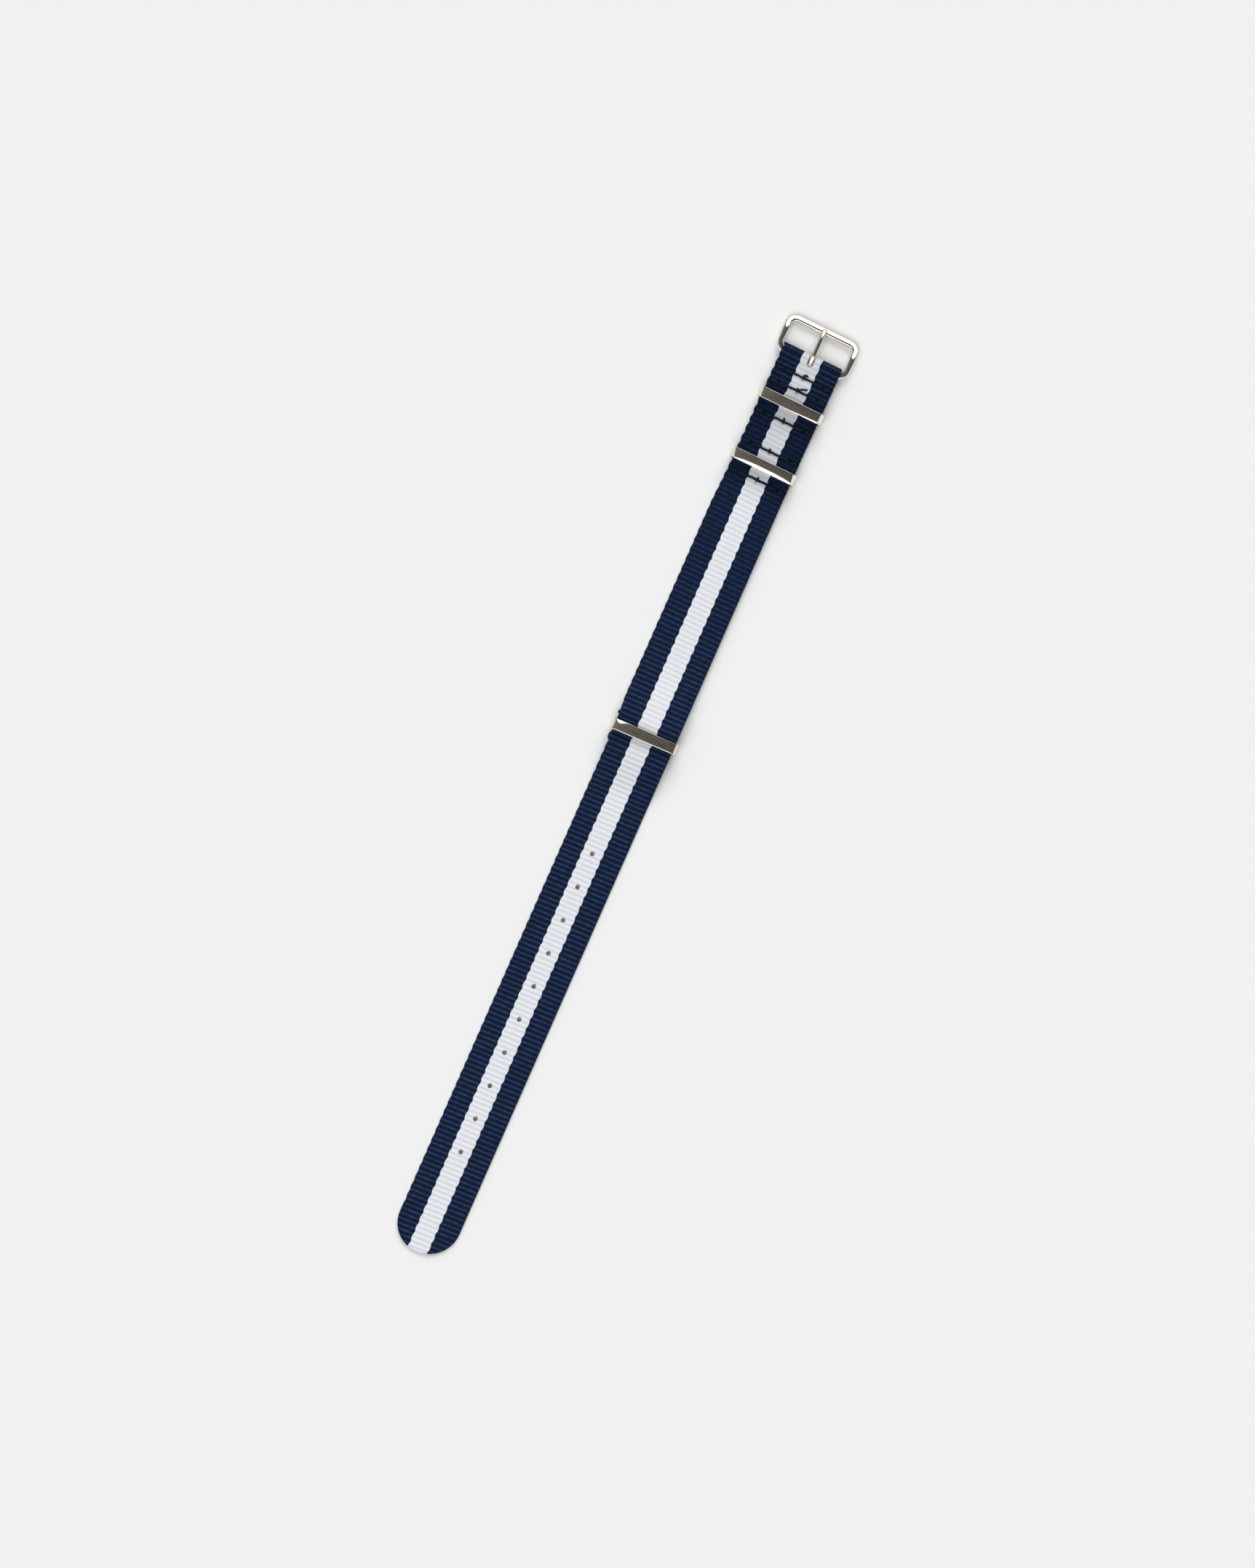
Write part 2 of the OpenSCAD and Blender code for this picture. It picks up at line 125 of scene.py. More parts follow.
# Ends of the short strap at the head, of the flap, and of the short strap's turned end
SHORT_START, FLAP_END, LAP_END = 3.2, 10.0, 104.0

# The adjustment holes, and their width over their length
FIRST_HOLE, HOLE_PITCH, HOLES = 148.1, 10.0, 10
HOLE_SHAPE = 0.86

# Heights of the layers' undersides at places along the strap, as in the part's source
MAIN_UNDER = [
    (0, BAR_Z + LOOP_R), (3.5, SEWN_TOP), (ROWS[1] + 0.6, SEWN_TOP),
    (KEEPERS[0] - POCKET_HALF, POCKET_TOP), (KEEPERS[0] + POCKET_HALF, POCKET_TOP),
    (ROWS[2] - 0.6, WEB_T), (ROWS[3] + 0.6, WEB_T),
    (KEEPERS[1] - POCKET_HALF, POCKET_TOP), (KEEPERS[1] + POCKET_HALF, POCKET_TOP),
    (ROWS[4] - 0.6, WEB_T), (92, WEB_T), (110.5, OVER_Z), (FOLD_S + FOLD_R, OVER_Z),
    (BENDS["tail_bend_1"] - 2, 0), (TIP_S, 0),
]
FLAP_UNDER = [(0, 0), (SHORT_START, WEB_T), (FLAP_END, WEB_T)]
SHORT_UNDER = [
    (SHORT_START, 0), (98, 0), (103.5, LAP_Z), (ROWS[5] + 0.6, LAP_Z),
    (111, POCKET_TOP), (FOLD_S, POCKET_TOP),
]

# How far the weave and the sewing lie askew, in degrees, at places along the strap
SKEW_S = (0, 40, 80, 130, 250)
SKEW = (2.4, 2.3, 1.0, -1.0, -1.7)

# How far the strap bows sideways where it lies, at places along it
BOW_S = (-12, 4, 16, 28, 40, 105, 125, 150, 200, 268)
BOW = (0.78, 0.6, 0.4, 0.25, 0.2, 0.2, 0.15, 0.08, 0, -0.05)

# Needle holes across the strap, a little uneven as the machine left them
NEEDLE_X = (-8.5, -5.68, -2.8, -0.05, 3.12, 6.12, 8.5)

# Half the gap that the sunk thread leaves at each of them
DIP_WIDTHS = (0.5, 0.5, 0.25, 0.25, 0.25, 0.5, 0.5)


# Settings

class WebbingSettings(bpy.types.PropertyGroup):
    """Sizes and colours of the ribbed webbing."""

    stripe_width: bpy.props.FloatProperty(
        name="Stripe width", description="Width of the pale centre stripe",
        default=5.72 * MM, subtype="DISTANCE", unit="LENGTH")
    rib_pitch: bpy.props.FloatProperty(
        name="Rib pitch", description="Distance from rib to rib along the webbing",
        default=1.41 * MM, subtype="DISTANCE", unit="LENGTH")
    rib_depth: bpy.props.FloatProperty(
        name="Rib depth", description="Depth of the valleys between the ribs of the tail",
        default=0.15 * MM, subtype="DISTANCE", unit="LENGTH")
    yarn_pitch: bpy.props.FloatProperty(
        name="Yarn pitch", description="Distance from yarn to yarn across the webbing",
        default=0.44 * MM, subtype="DISTANCE", unit="LENGTH")
    hole_width: bpy.props.FloatProperty(
        name="Hole width", description="Width of the burnt adjustment holes across the strap",
        default=1.1 * MM, subtype="DISTANCE", unit="LENGTH")
    hole_length: bpy.props.FloatProperty(
        name="Hole length", description="Length of the burnt adjustment holes along the strap",
        default=1.28 * MM, subtype="DISTANCE", unit="LENGTH")
    navy: bpy.props.FloatVectorProperty(
        name="Navy", description="Colour of the dark yarn",
        default=(0.0019, 0.0066, 0.0255), subtype="COLOR")
    # Painted highlight: the dark yarn's colour on the ribs' crests
    navy_lit: bpy.props.FloatVectorProperty(
        name="Navy crest", description="Colour of the dark yarn where it rides over a rib",
        default=(0.060, 0.098, 0.190), subtype="COLOR")
    white: bpy.props.FloatVectorProperty(
        name="White", description="Colour of the pale yarn",
        default=(0.80, 0.82, 0.855), subtype="COLOR")
    # Painted shade: the pale yarn's colour in the valleys between ribs and between yarns
    white_shade: bpy.props.FloatVectorProperty(
        name="White valley", description="Colour of the pale yarn between two ribs",
        default=(0.60, 0.63, 0.67), subtype="COLOR")
    # Painted shade over the strap's head, fading out towards the seat
    head_shade: bpy.props.FloatProperty(
        name="Head shade", description="How much darker the handled head of the strap is",
        default=0.29, min=0.0, max=1.0, subtype="FACTOR")
    scorch: bpy.props.FloatVectorProperty(
        name="Scorch", description="Colour of the burnt edge of a hole",
        default=(0.085, 0.068, 0.045), subtype="COLOR")
    # Painted shade in and round the needle holes
    needle_hole_shade: bpy.props.FloatVectorProperty(
        name="Needle hole", description="Colour of the webbing where the needle went through",
        default=(0.0012, 0.0025, 0.006), subtype="COLOR")


class HardwareSettings(bpy.types.PropertyGroup):
    """Sizes and finish of the buckle, its tongue and the keepers."""

    steel: bpy.props.FloatVectorProperty(
        name="Steel", description="Colour of the polished steel",
        default=(0.80, 0.765, 0.67), subtype="COLOR")
    frame_flat: bpy.props.FloatProperty(
        name="Frame flatness", description="Height of the frame's top over its width",
        default=0.74, min=0.4, max=1.0, subtype="FACTOR")
    crown: bpy.props.FloatProperty(
        name="Keeper crown", description="Fall of a keeper's strip from its middle to its edge",
        default=0.03 * MM, subtype="DISTANCE", unit="LENGTH")
    dome: bpy.props.FloatProperty(
        name="Keeper dome", description="Fall of a keeper's top from its middle to its ends",
        default=0.16 * MM, subtype="DISTANCE", unit="LENGTH")
    turned_edge: bpy.props.FloatProperty(
        name="Keeper turned edge", description="Slope of the turned edges of a keeper's top",
        default=math.radians(15), subtype="ANGLE", unit="ROTATION")
    edge: bpy.props.FloatProperty(
        name="Keeper edge", description="Width of the bevel along a keeper's edges",
        default=0.16 * MM, subtype="DISTANCE", unit="LENGTH")


class ThreadSettings(bpy.types.PropertyGroup):
    """Sizes and colour of the sewing thread."""

    colour: bpy.props.FloatVectorProperty(
        name="Thread", description="Colour of the sewing thread",
        default=(0.0055, 0.0125, 0.0180), subtype="COLOR")
    ply_radius: bpy.props.FloatProperty(
        name="Ply radius", description="Radius of each of the thread's three plies",
        default=0.165 * MM, subtype="DISTANCE", unit="LENGTH")
    twist: bpy.props.FloatProperty(
        name="Twist", description="Length along the thread of one full turn of its plies",
        default=1.35 * MM, subtype="DISTANCE", unit="LENGTH")


class StageSettings(bpy.types.PropertyGroup):
    """Ground and light."""

    ground: bpy.props.FloatVectorProperty(
        name="Ground", description="Colour of the ground",
        default=(0.86, 0.86, 0.86), subtype="COLOR")
    left: bpy.props.FloatProperty(
        name="Left light", description="Strength of the soft lamp on the left",
        default=0.35, min=0.0)
    buckle_end: bpy.props.FloatProperty(
        name="Buckle end light", description="Strength of the soft lamp beyond the buckle",
        default=2.05, min=0.0)
    tip_end: bpy.props.FloatProperty(
        name="Tip end light", description="Strength of the soft lamp beyond the tip",
        default=1.50, min=0.0)
    spread: bpy.props.FloatProperty(
        name="Spread", description="Angle over which each soft lamp is spread",
        default=math.radians(45), subtype="ANGLE", unit="ROTATION")


# Helpers for objects and meshes

def clear_selection():
    if bpy.context.mode != "OBJECT":
        bpy.ops.object.mode_set(mode="OBJECT")
    bpy.ops.object.select_all(action="DESELECT")


def select_only(*pieces):
    clear_selection()
    for piece in pieces:
        piece.select_set(True)
    bpy.context.view_layer.objects.active = pieces[0]


def named(name):
    """The object that was just added, under its own name."""
    piece = bpy.context.active_object
    piece.name = piece.data.name = name
    return piece


def read_points(piece):
    """The mesh's vertices in millimetres."""
    points = np.empty(len(piece.data.vertices) * 3)
    piece.data.vertices.foreach_get("co", points)
    return points.reshape(-1, 3) / MM


def write_points(piece, points):
    piece.data.vertices.foreach_set("co", (np.asarray(points) * MM).ravel())
    piece.data.update()


def corner_table(piece):
    """The four vertices of each face of a mesh of quads."""
    corners = np.empty(len(piece.data.loops), int)
    piece.data.loops.foreach_get("vertex_index", corners)
    return corners.reshape(-1, 4)


def apply_modifier(piece, kind, **settings):
    select_only(piece)
    modifier = piece.modifiers.new(kind.lower(), kind)
    for key, value in settings.items():
        setattr(modifier, key, value)
    bpy.ops.object.modifier_apply(modifier=modifier.name)


def delete_faces(piece, gone):
    select_only(piece)
    bpy.ops.object.mode_set(mode="EDIT")
    bpy.ops.mesh.select_mode(type="FACE")
    bpy.ops.mesh.select_all(action="DESELECT")
    bpy.ops.object.mode_set(mode="OBJECT")
    piece.data.polygons.foreach_set("select", gone)
    bpy.ops.object.mode_set(mode="EDIT")
    bpy.ops.mesh.delete(type="FACE")
    bpy.ops.object.mode_set(mode="OBJECT")


def tidy_shell(piece):
    """Merges doubled vertices and turns every face outwards."""
    select_only(piece)
    bpy.ops.object.mode_set(mode="EDIT")
    bpy.ops.mesh.select_mode(type="VERT")
    bpy.ops.mesh.select_all(action="SELECT")
    bpy.ops.mesh.remove_doubles(threshold=0.002 * MM)
    bpy.ops.mesh.normals_make_consistent(inside=False)
    bpy.ops.object.mode_set(mode="OBJECT")


def askew(piece):
    """Shears and bows the piece as the strap was woven and sewn, and as it lies."""
    points = read_points(piece)
    s = BAR_Y - points[:, 1]
    points[:, 1] -= points[:, 0] * np.tan(np.radians(np.interp(s, SKEW_S, SKEW)))
    points[:, 0] += np.interp(s, BOW_S, BOW)
    write_points(piece, points)


def finish_piece(piece, material, replaced, smooth_angle=40):
    """Shading, material and the solids that the piece stands for."""
    askew(piece)
    select_only(piece)
    bpy.ops.object.shade_smooth_by_angle(angle=math.radians(smooth_angle))
    piece.data.materials.clear()
    piece.data.materials.append(material)
    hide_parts(*replaced)


def ease(share):
    share = np.clip(share, 0, 1)
    return share * share * (3 - 2 * share)


def rise(s, stations):
    """Height of a layer's underside that eases from each station to the next."""
    z = np.full(np.shape(s), float(stations[0][1]))
    for (s0, z0), (s1, z1) in zip(stations, stations[1:]):
        if z1 != z0:
            z += (z1 - z0) * ease((s - s0) / (s1 - s0))
    return z


def bump(distance, width):
    return np.exp(-(distance / width) ** 2)


# Helpers for materials

class Nodes:
    """Adds nodes to a material, a world or a node group, and links them."""

    def __init__(self, tree):
        self.tree = tree
        tree.nodes.clear()

    def add(self, kind, sockets=None, **settings):
        node = self.tree.nodes.new(kind)
        for key, value in settings.items():
            setattr(node, key, value)
        for key, value in (sockets or {}).items():
            self.feed(node.inputs[key], value)
        return node

    def feed(self, socket, value):
        if isinstance(value, bpy.types.NodeSocket):
            self.tree.links.new(value, socket)
        else:
            socket.default_value = value

    def math(self, operation, *values, clamp=False):
        return self.add("ShaderNodeMath", dict(enumerate(values)), operation=operation,
                        use_clamp=clamp).outputs[0]

    def plus(self, *values, **clamp):
        return self.math("ADD", *values, **clamp)

    def minus(self, *values, **clamp):
        return self.math("SUBTRACT", *values, **clamp)

    def times(self, *values):
        return self.math("MULTIPLY", *values)

    def blend(self, share, first, second):
        """A colour between two."""
        return self.add("ShaderNodeMix", {0: share, 6: first, 7: second},
                        data_type="RGBA").outputs[2]

    def slope(self, value, low, high, first=0.0, last=1.0, curve="LINEAR"):
        """A value that runs from first at low to last at high."""
        return self.add("ShaderNodeMapRange", {
            "Value": value, "From Min": low, "From Max": high, "To Min": first, "To Max": last},
            interpolation_type=curve).outputs[0]

    def step(self, value, low, high):
        """0 below low, 1 above high and smooth between them."""
        return self.slope(value, low, high, curve="SMOOTHSTEP")

    def noise(self, vector, scale=1.0, detail=2.0):
        return self.add("ShaderNodeTexNoise", {
            "Vector": vector, "Scale": scale, "Detail": detail}).outputs["Fac"]

    def stretched(self, vector, scale):
        return self.add("ShaderNodeVectorMath", {0: vector, 1: scale},
                        operation="MULTIPLY").outputs[0]

    def raised(self, height, distance):
        """A normal that follows a height."""
        return self.add("ShaderNodeBump", {"Height": height, "Distance": distance}).outputs[0]


def rgba(colour):
    return (*colour, 1.0)


def new_group(name, inputs):
    """A node group, its nodes and its inputs; an input without a default is a place."""
    group = bpy.data.node_groups.new(name, "ShaderNodeTree")
    for key, default in inputs.items():
        kind = "NodeSocketVector" if default is None else "NodeSocketFloat"
        socket = group.interface.new_socket(name=key, in_out="INPUT", socket_type=kind)
        if default is not None:
            socket.default_value = default
    n = Nodes(group)
    return group, n, n.add("NodeGroupInput").outputs


def give_out(group, n, values):
    """Gives a node group its outputs."""
    for key in values:
        group.interface.new_socket(name=key, in_out="OUTPUT", socket_type="NodeSocketFloat")
    n.add("NodeGroupOutput", values)
    return group


def weave_group():
    """Masks for stripe, ribs, yarn, holes and the head's painted shade, and a height, from a place
    on the cloth in mm.
    """
    group, n, given = new_group("Ribbed weave", {
        "Cloth": None, "Rib pitch": 1.41, "Yarn pitch": 0.44, "Stripe half": 2.86,
        "First hole": FIRST_HOLE, "Hole reach": 0.7})
    cloth = given["Cloth"]
    x, s, _ = n.add("ShaderNodeSeparateXYZ", {0: cloth}).outputs

    # Ribs across the strap, flatter where it is sewn; Relief sets the strength of the painted
    # highlight on their crests, weaker in the sewn head and stronger in the tail
    rib = n.math("DIVIDE", n.minus(s, RIB_CREST), given["Rib pitch"])
    nearest = n.math("ROUND", rib)
    off = n.minus(rib, nearest)
    near = n.math("ABSOLUTE", off)
    crest = n.minus(1.0, n.step(near, 0.05, 0.26))
    valley = n.step(near, 0.27, 0.46)
    sewn_part = n.times(n.step(s, 3.0, 14.0), 0.5)
    relief = n.plus(n.minus(0.85, sewn_part), n.times(n.step(s, 40.0, 105.0), 0.45))

    # The stripe's edges wave from rib to rib
    weaving = n.times(n.math("SINE", n.times(rib, math.pi)), 0.13)
    fuzz = n.noise(n.stretched(cloth, (9.0, 1.2, 1.0)))
    wander = n.times(n.minus(fuzz, 0.5), 0.12)
    side = n.math("ABSOLUTE", n.plus(n.minus(x, weaving), wander))
    past = n.minus(side, given["Stripe half"])

    # Slanted yarns, staggered from rib to rib, each with a brightness of its own
    lean = n.times(n.times(off, given["Rib pitch"]), 0.5)
    across = n.math("DIVIDE", n.plus(x, lean), given["Yarn pitch"])
    jog = n.times(n.noise(n.stretched(cloth, (0.7, 0.5, 1.0))), 1.6)
    odd = n.math("FLOORED_MODULO", nearest, 2.0)
    staggered = n.plus(n.plus(across, jog), n.times(odd, 0.5))
    cell = n.add("ShaderNodeCombineXYZ", {0: n.math("FLOOR", staggered), 1: nearest}).outputs[0]
    own = n.add("ShaderNodeTexWhiteNoise", {"Vector": cell}).outputs["Value"]
    uneven = n.noise(n.stretched(cloth, (2.9, 2.1, 1.0)))
    round_yarn = n.math("ABSOLUTE", n.math("SINE", n.times(staggered, math.pi)))
    strand = n.step(round_yarn, n.plus(0.12, n.times(uneven, 0.75)), 0.98)
    yarn = n.times(strand, n.plus(0.35, n.times(own, 0.75)))
    strand_height = n.times(yarn, n.plus(0.25, n.times(crest, 0.45)))

    # The burnt edge round each adjustment hole
    from_first = n.math("DIVIDE", n.minus(s, given["First hole"]), HOLE_PITCH)
    which = n.math("ROUND", from_first)
    reach_s = n.times(n.minus(from_first, which), HOLE_PITCH * HOLE_SHAPE)
    radius = n.math("SQRT", n.plus(n.math("POWER", x, 2.0), n.math("POWER", reach_s, 2.0)))
    in_row = n.times(n.math("GREATER_THAN", which, -0.5), n.math("LESS_THAN", which, HOLES - 0.5))
    edge = n.plus(given["Hole reach"], wander)
    near_hole = n.minus(1.0, n.step(n.minus(radius, edge), -0.03, 0.05))

    return give_out(group, n, {
        "Stripe": n.minus(1.0, n.step(past, -0.045, 0.045)), "Crest": crest, "Valley": valley,
        "Relief": relief, "Yarn": yarn, "Hole": n.times(near_hole, in_row),
        # Painted shade over the head, fading out from 29 to 42 mm past the bar
        "Shaded head": n.minus(1.0, n.step(s, 29.0, 42.0)),
        "Height": n.plus(strand_height, n.times(fuzz, 0.35))})


def wear_group():
    """Fine scratches, dull patches and a faint waviness, from a place on a piece in metres."""
    group, n, given = new_group("Polish wear", {"Place": None, "Polish": 0.07, "Dulling": 0.10})
    patches = n.noise(given["Place"], 420.0, 3.0)
    fine = n.noise(n.stretched(given["Place"], (1500.0, 9000.0, 9000.0)), detail=1.0)
    lines = n.step(fine, 0.60, 0.72)
    dull = n.times(n.step(patches, 0.35, 0.85), given["Dulling"])
    waves = n.noise(given["Place"], 260.0, 1.0)
    return give_out(group, n, {
        "Roughness": n.plus(given["Polish"], n.plus(dull, n.times(lines, 0.05))),
        "Height": n.minus(waves, n.times(lines, 0.04))})


def fibre_group():
    """Light and dark filaments of a twisted thread, from a place in metres."""
    group, n, given = new_group("Thread fibre", {"Place": None, "Scale": 9000.0})
    fibres = n.noise(n.stretched(given["Place"], (1.0, 2.2, 2.2)), given["Scale"], 3.0)
    return give_out(group, n, {"Strand": n.step(fibres, 0.50, 0.66), "Height": fibres})


GROUPS = {}


def use_group(n, maker, sockets):
    """A node group placed in a material. It is made where it is first used."""
    if maker not in GROUPS:
        GROUPS[maker] = maker()
    return n.add("ShaderNodeGroup", sockets, node_tree=GROUPS[maker]).outputs


def new_material(name, surface):
    """A material with a Principled surface whose plain values are set on its own sockets."""
    material = bpy.data.materials.new(name)
    material.use_nodes = True
    n = Nodes(material.node_tree)
    shader = n.add("ShaderNodeBsdfPrincipled", surface)
    n.add("ShaderNodeOutputMaterial", {"Surface": shader.outputs[0]})
    return material, n, shader.inputs


def webbing_material(name, sizes, shade=1.0, pierced=True):
    """Ribbed nylon: dark yarn, a pale centre stripe and burnt hole edges, with a painted highlight
    on the crests and painted shade in the valleys, at the needle holes and over the head.
    """
    material, n, surface = new_material(name, {"Specular IOR Level": 0.08})
    cloth = n.add("ShaderNodeUVMap", uv_map=CLOTH_MAP).outputs[0]
    weave = use_group(n, weave_group, {
        "Cloth": cloth, "Rib pitch": sizes.rib_pitch / MM, "Yarn pitch": sizes.yarn_pitch / MM,
        "Stripe half": sizes.stripe_width / MM / 2,
        "Hole reach": sizes.hole_width / MM / 2 + 0.05 if pierced else -1.0})

    # Painted highlight on the dark yarn where it rides over a rib; painted shade on the pale yarn
    # between ribs and yarns
    cloud = n.noise(n.stretched(cloth, (1.6, 0.9, 1.0)))
    lit = n.times(n.plus(0.18, weave["Yarn"]),
                  n.plus(0.12, n.times(weave["Crest"], weave["Relief"])))
    crest_highlight = n.times(lit, n.plus(0.35, n.times(cloud, 0.9)))
    dark = n.blend(crest_highlight, rgba([c * shade for c in sizes.navy]), rgba(sizes.navy_lit))
    # Painted shade on the pale yarn in the valleys and between yarns
    gap = n.times(weave["Valley"], n.minus(1.0, weave["Yarn"]))
    low = n.plus(n.times(gap, 0.75), n.times(n.minus(1.0, weave["Crest"]), 0.25), clamp=True)
    pale = n.blend(low, rgba(sizes.white), rgba(sizes.white_shade))
    striped = n.blend(weave["Stripe"], dark, pale)

    # Painted shade at the needle holes
    needle_shade_share = n.times(n.add("ShaderNodeAttribute", attribute_name=NEEDLE_SHADE).outputs["Fac"], 0.9)
    striped = n.blend(needle_shade_share, striped, rgba(sizes.needle_hole_shade))
    burnt = n.blend(n.times(weave["Hole"], 0.96), striped, rgba(sizes.scorch))
    # Painted shade darkens the head, a little less on the pale stripe
    darkened = n.times(weave["Shaded head"], n.minus(sizes.head_shade, n.times(weave["Stripe"], 0.12)))
    n.feed(surface["Base Color"], n.blend(darkened, burnt, (0, 0, 0, 1)))
    n.feed(surface["Roughness"], n.minus(0.72, n.times(weave["Yarn"], 0.16)))
    n.feed(surface["Normal"], n.raised(weave["Height"], 0.055 * MM))
    return material


def steel_material(name, metal, polish, dulling):
    """Polished steel with fine scratches and slightly dull patches."""
    material, n, surface = new_material(name, {"Base Color": rgba(metal.steel), "Metallic": 1.0})
    place = n.add("ShaderNodeTexCoord").outputs["Object"]
    wear = use_group(n, wear_group, {"Place": place, "Polish": polish, "Dulling": dulling})
    n.feed(surface["Roughness"], wear["Roughness"])
    n.feed(surface["Normal"], n.raised(wear["Height"], 0.006 * MM))
    return material


def thread_material(name, thread):
    """Twisted sewing thread with paler filaments."""
    material, n, surface = new_material(name, {"Specular IOR Level": 0.12})
    place = n.add("ShaderNodeTexCoord").outputs["Object"]
    fibre = use_group(n, fibre_group, {"Place": place})
    pale = [c * 4 + 0.004 for c in thread.colour]
    n.feed(surface["Base Color"], n.blend(fibre["Strand"], rgba(thread.colour), rgba(pale)))
    n.feed(surface["Roughness"], n.plus(0.42, n.times(fibre["Strand"], 0.2)))
    n.feed(surface["Normal"], n.raised(fibre["Height"], 0.03 * MM))
    return material


# Webbing

# Names of the cloth's map, which is in millimetres, and of the painted shade at the needle holes
CLOTH_MAP, NEEDLE_SHADE = "Cloth", "needle_holes"

# Place of a rib's crest along the cloth
RIB_CREST = 0.36

# Radius and length of the two folds' middle, and how far the first bulges for its radius
MAIN_TURN, SHORT_TURN = LOOP_R + WEB_T / 2, FOLD_R + WEB_T / 2
MAIN_ARC, SHORT_ARC = math.pi * MAIN_TURN, math.pi * SHORT_TURN
BULGE = 1.33

# Half the width of the tongue's slot, and how far it runs onto the top and onto the flap
SLOT_HALF, SLOT_TOP, SLOT_BOTTOM = 0.95, 1.05, 1.4

# How far the short strap drifts sideways, at places along it
DRIFT_S = (34, 46, 104, 110, 114.3, 115.6, 118)
DRIFT = (0, -0.5, -0.6, -0.12, -0.12, -0.5, -0.5)

# Places near which the main strap's four lengths meet, each in a valley between two ribs
CUTS = (87, 153, 193)

# How far from its middle the cloth of a bend begins to curve
HEAD_REACH, TAIL_REACH = 7, 9

# The ribs' valleys deepen from the end of the head to the middle of the tail
DEEPER_FROM, DEEPER_TO = 55, 145

# Widths of the groove below a row of stitches, and of the dimple and the painted shade at a needle
# hole
GROOVE_W, DIMPLE_W, MARK_W = 0.46, 0.45, 0.55

# Width over which the edges are rounded, and the share of the thickness that is left there
EDGE_W, EDGE_SHARE = 0.6, 0.24


def main_path(cloth):
    """Place of the main strap's middle: along the top, round the bar, back along the flap."""
    angle = np.clip(-cloth / MAIN_TURN, 0, math.pi)
    flap = np.maximum(-cloth - MAIN_ARC, 0)
    s = np.maximum(cloth, 0) + flap - BULGE * MAIN_TURN * np.sin(angle)
    top = rise(cloth, MAIN_UNDER) + WEB_T / 2
    under = rise(flap, FLAP_UNDER) + WEB_T / 2
    z = np.where(cloth >= 0, top, np.where(flap > 0, under, BAR_Z + MAIN_TURN * np.cos(angle)))
    return s, z


def short_path(cloth):
    """Place of the short strap's middle: along the wrist, up, round the end keeper's strip."""
    past = np.maximum(cloth - FOLD_S, 0)
    angle = np.clip(past / SHORT_TURN, 0, math.pi)
    back = np.maximum(past - SHORT_ARC, 0)
    s = np.minimum(cloth, FOLD_S) + SHORT_TURN * np.sin(angle) - back
    run = rise(cloth, SHORT_UNDER) + WEB_T / 2
    return s, np.where(past > 0, FOLD_Z + SHORT_TURN * np.cos(angle), run)


def rib_valley(cloth, s, sizes):
    """Depth of the valleys between the ribs: narrow in the head, broad and deep in the tail."""
    wave = 0.5 + 0.5 * np.cos(2 * math.pi * (cloth - RIB_CREST) / (sizes.rib_pitch / MM))
    flat = 1 - (1 - wave) ** 3
    tail = ease((s - DEEPER_FROM) / (DEEPER_TO - DEEPER_FROM))
    depth = sizes.rib_depth / MM * (0.5 + 0.5 * tail)
    return depth * (1 - (flat * (1 - tail) + wave ** 1.25 * tail))


def by_needle(x, s, row, width):
    """A bump round each needle hole of a row."""
    return [bump(np.hypot(x - hole, (s - row) * 0.9), width) for hole in NEEDLE_X]


def sewn(x, s, rows, groove, dimple):
    """Depth to which stitch rows and their needle points pull the webbing down."""
    depth = np.zeros(np.shape(x))
    for row in rows:
        depth += groove * bump(s - row, GROOVE_W)
        for dent in by_needle(x, s, row, DIMPLE_W):
            depth += dimple * dent
        # The thread pulls a small dent beyond the middle of the row
        depth += 0.16 * bump(x, 0.28) * bump(s - row - 1.0, 0.62)
    return depth


def needle_shade_mask(x, s):
    """Share of painted shade at the needle holes: 1 at each hole, falling to 0 round it."""
    return np.max([mark for row in ROWS[:5] for mark in by_needle(x, s, row, MARK_W)], 0)


def main_relief(x, cloth, s):
    """Depths by which the main strap's outer and inner side fall short of its thickness.

    It swells between the first two rows and is thin at the corners of the fold round the bar.
    """
    top = np.where(cloth > 0, sewn(x, s, ROWS[:5], 0.17, 0.34), 0)
    between = bump(s - (ROWS[0] + ROWS[1]) / 2, 1.1) * (cloth > 0)
    by_corner = ease((np.abs(x) - 6.9) / 1.5) * ease((3.5 - s) / 1.5) * (s < 3.5)
    return top - 0.10 * between, 0.42 * by_corner


def short_relief(x, cloth, s):
    """Grooves that keep the bobbin threads off the wrist, on the short strap."""
    on_turn = cloth > FOLD_S + SHORT_ARC
    wrist = sewn(x, s, ROWS[:5], 0.42, 0.10) * ~on_turn
    turned = sewn(x, s, ROWS[5:], 0.42, 0.10) * on_turn
    return turned, wrist


def snap_rim(x, along, rim, opening, step=0.01):
    """Moves the vertices on the rim of a cut onto the opening's own edge, in three passes."""
    for _ in range(3):
        gap = opening(x[rim], along[rim])
        slope_x = (opening(x[rim] + step, along[rim]) - gap) / step
        slope_s = (opening(x[rim], along[rim] + step) - gap) / step
        pull = np.where(abs(gap) < 0.3, gap, 0) / np.maximum(slope_x**2 + slope_s**2, 0.2)
        x[rim] -= pull * slope_x
        along[rim] -= pull * slope_s


def wavy_edge(x, along, s, rib):
    """How far the webbing's edges wave out and in from rib to rib, most in the loose head."""
    loose = 1 + 0.7 * ease((45 - s) / 15)
    left = 0.09 * loose * np.sin(math.pi * along / rib) - 0.06
    right = 0.04 * loose * np.cos(2 * math.pi * along / rib) - 0.02
    return np.where(x < 0, left, right) * np.clip(np.abs(x) - HALF_W + 1.0, 0, 1)


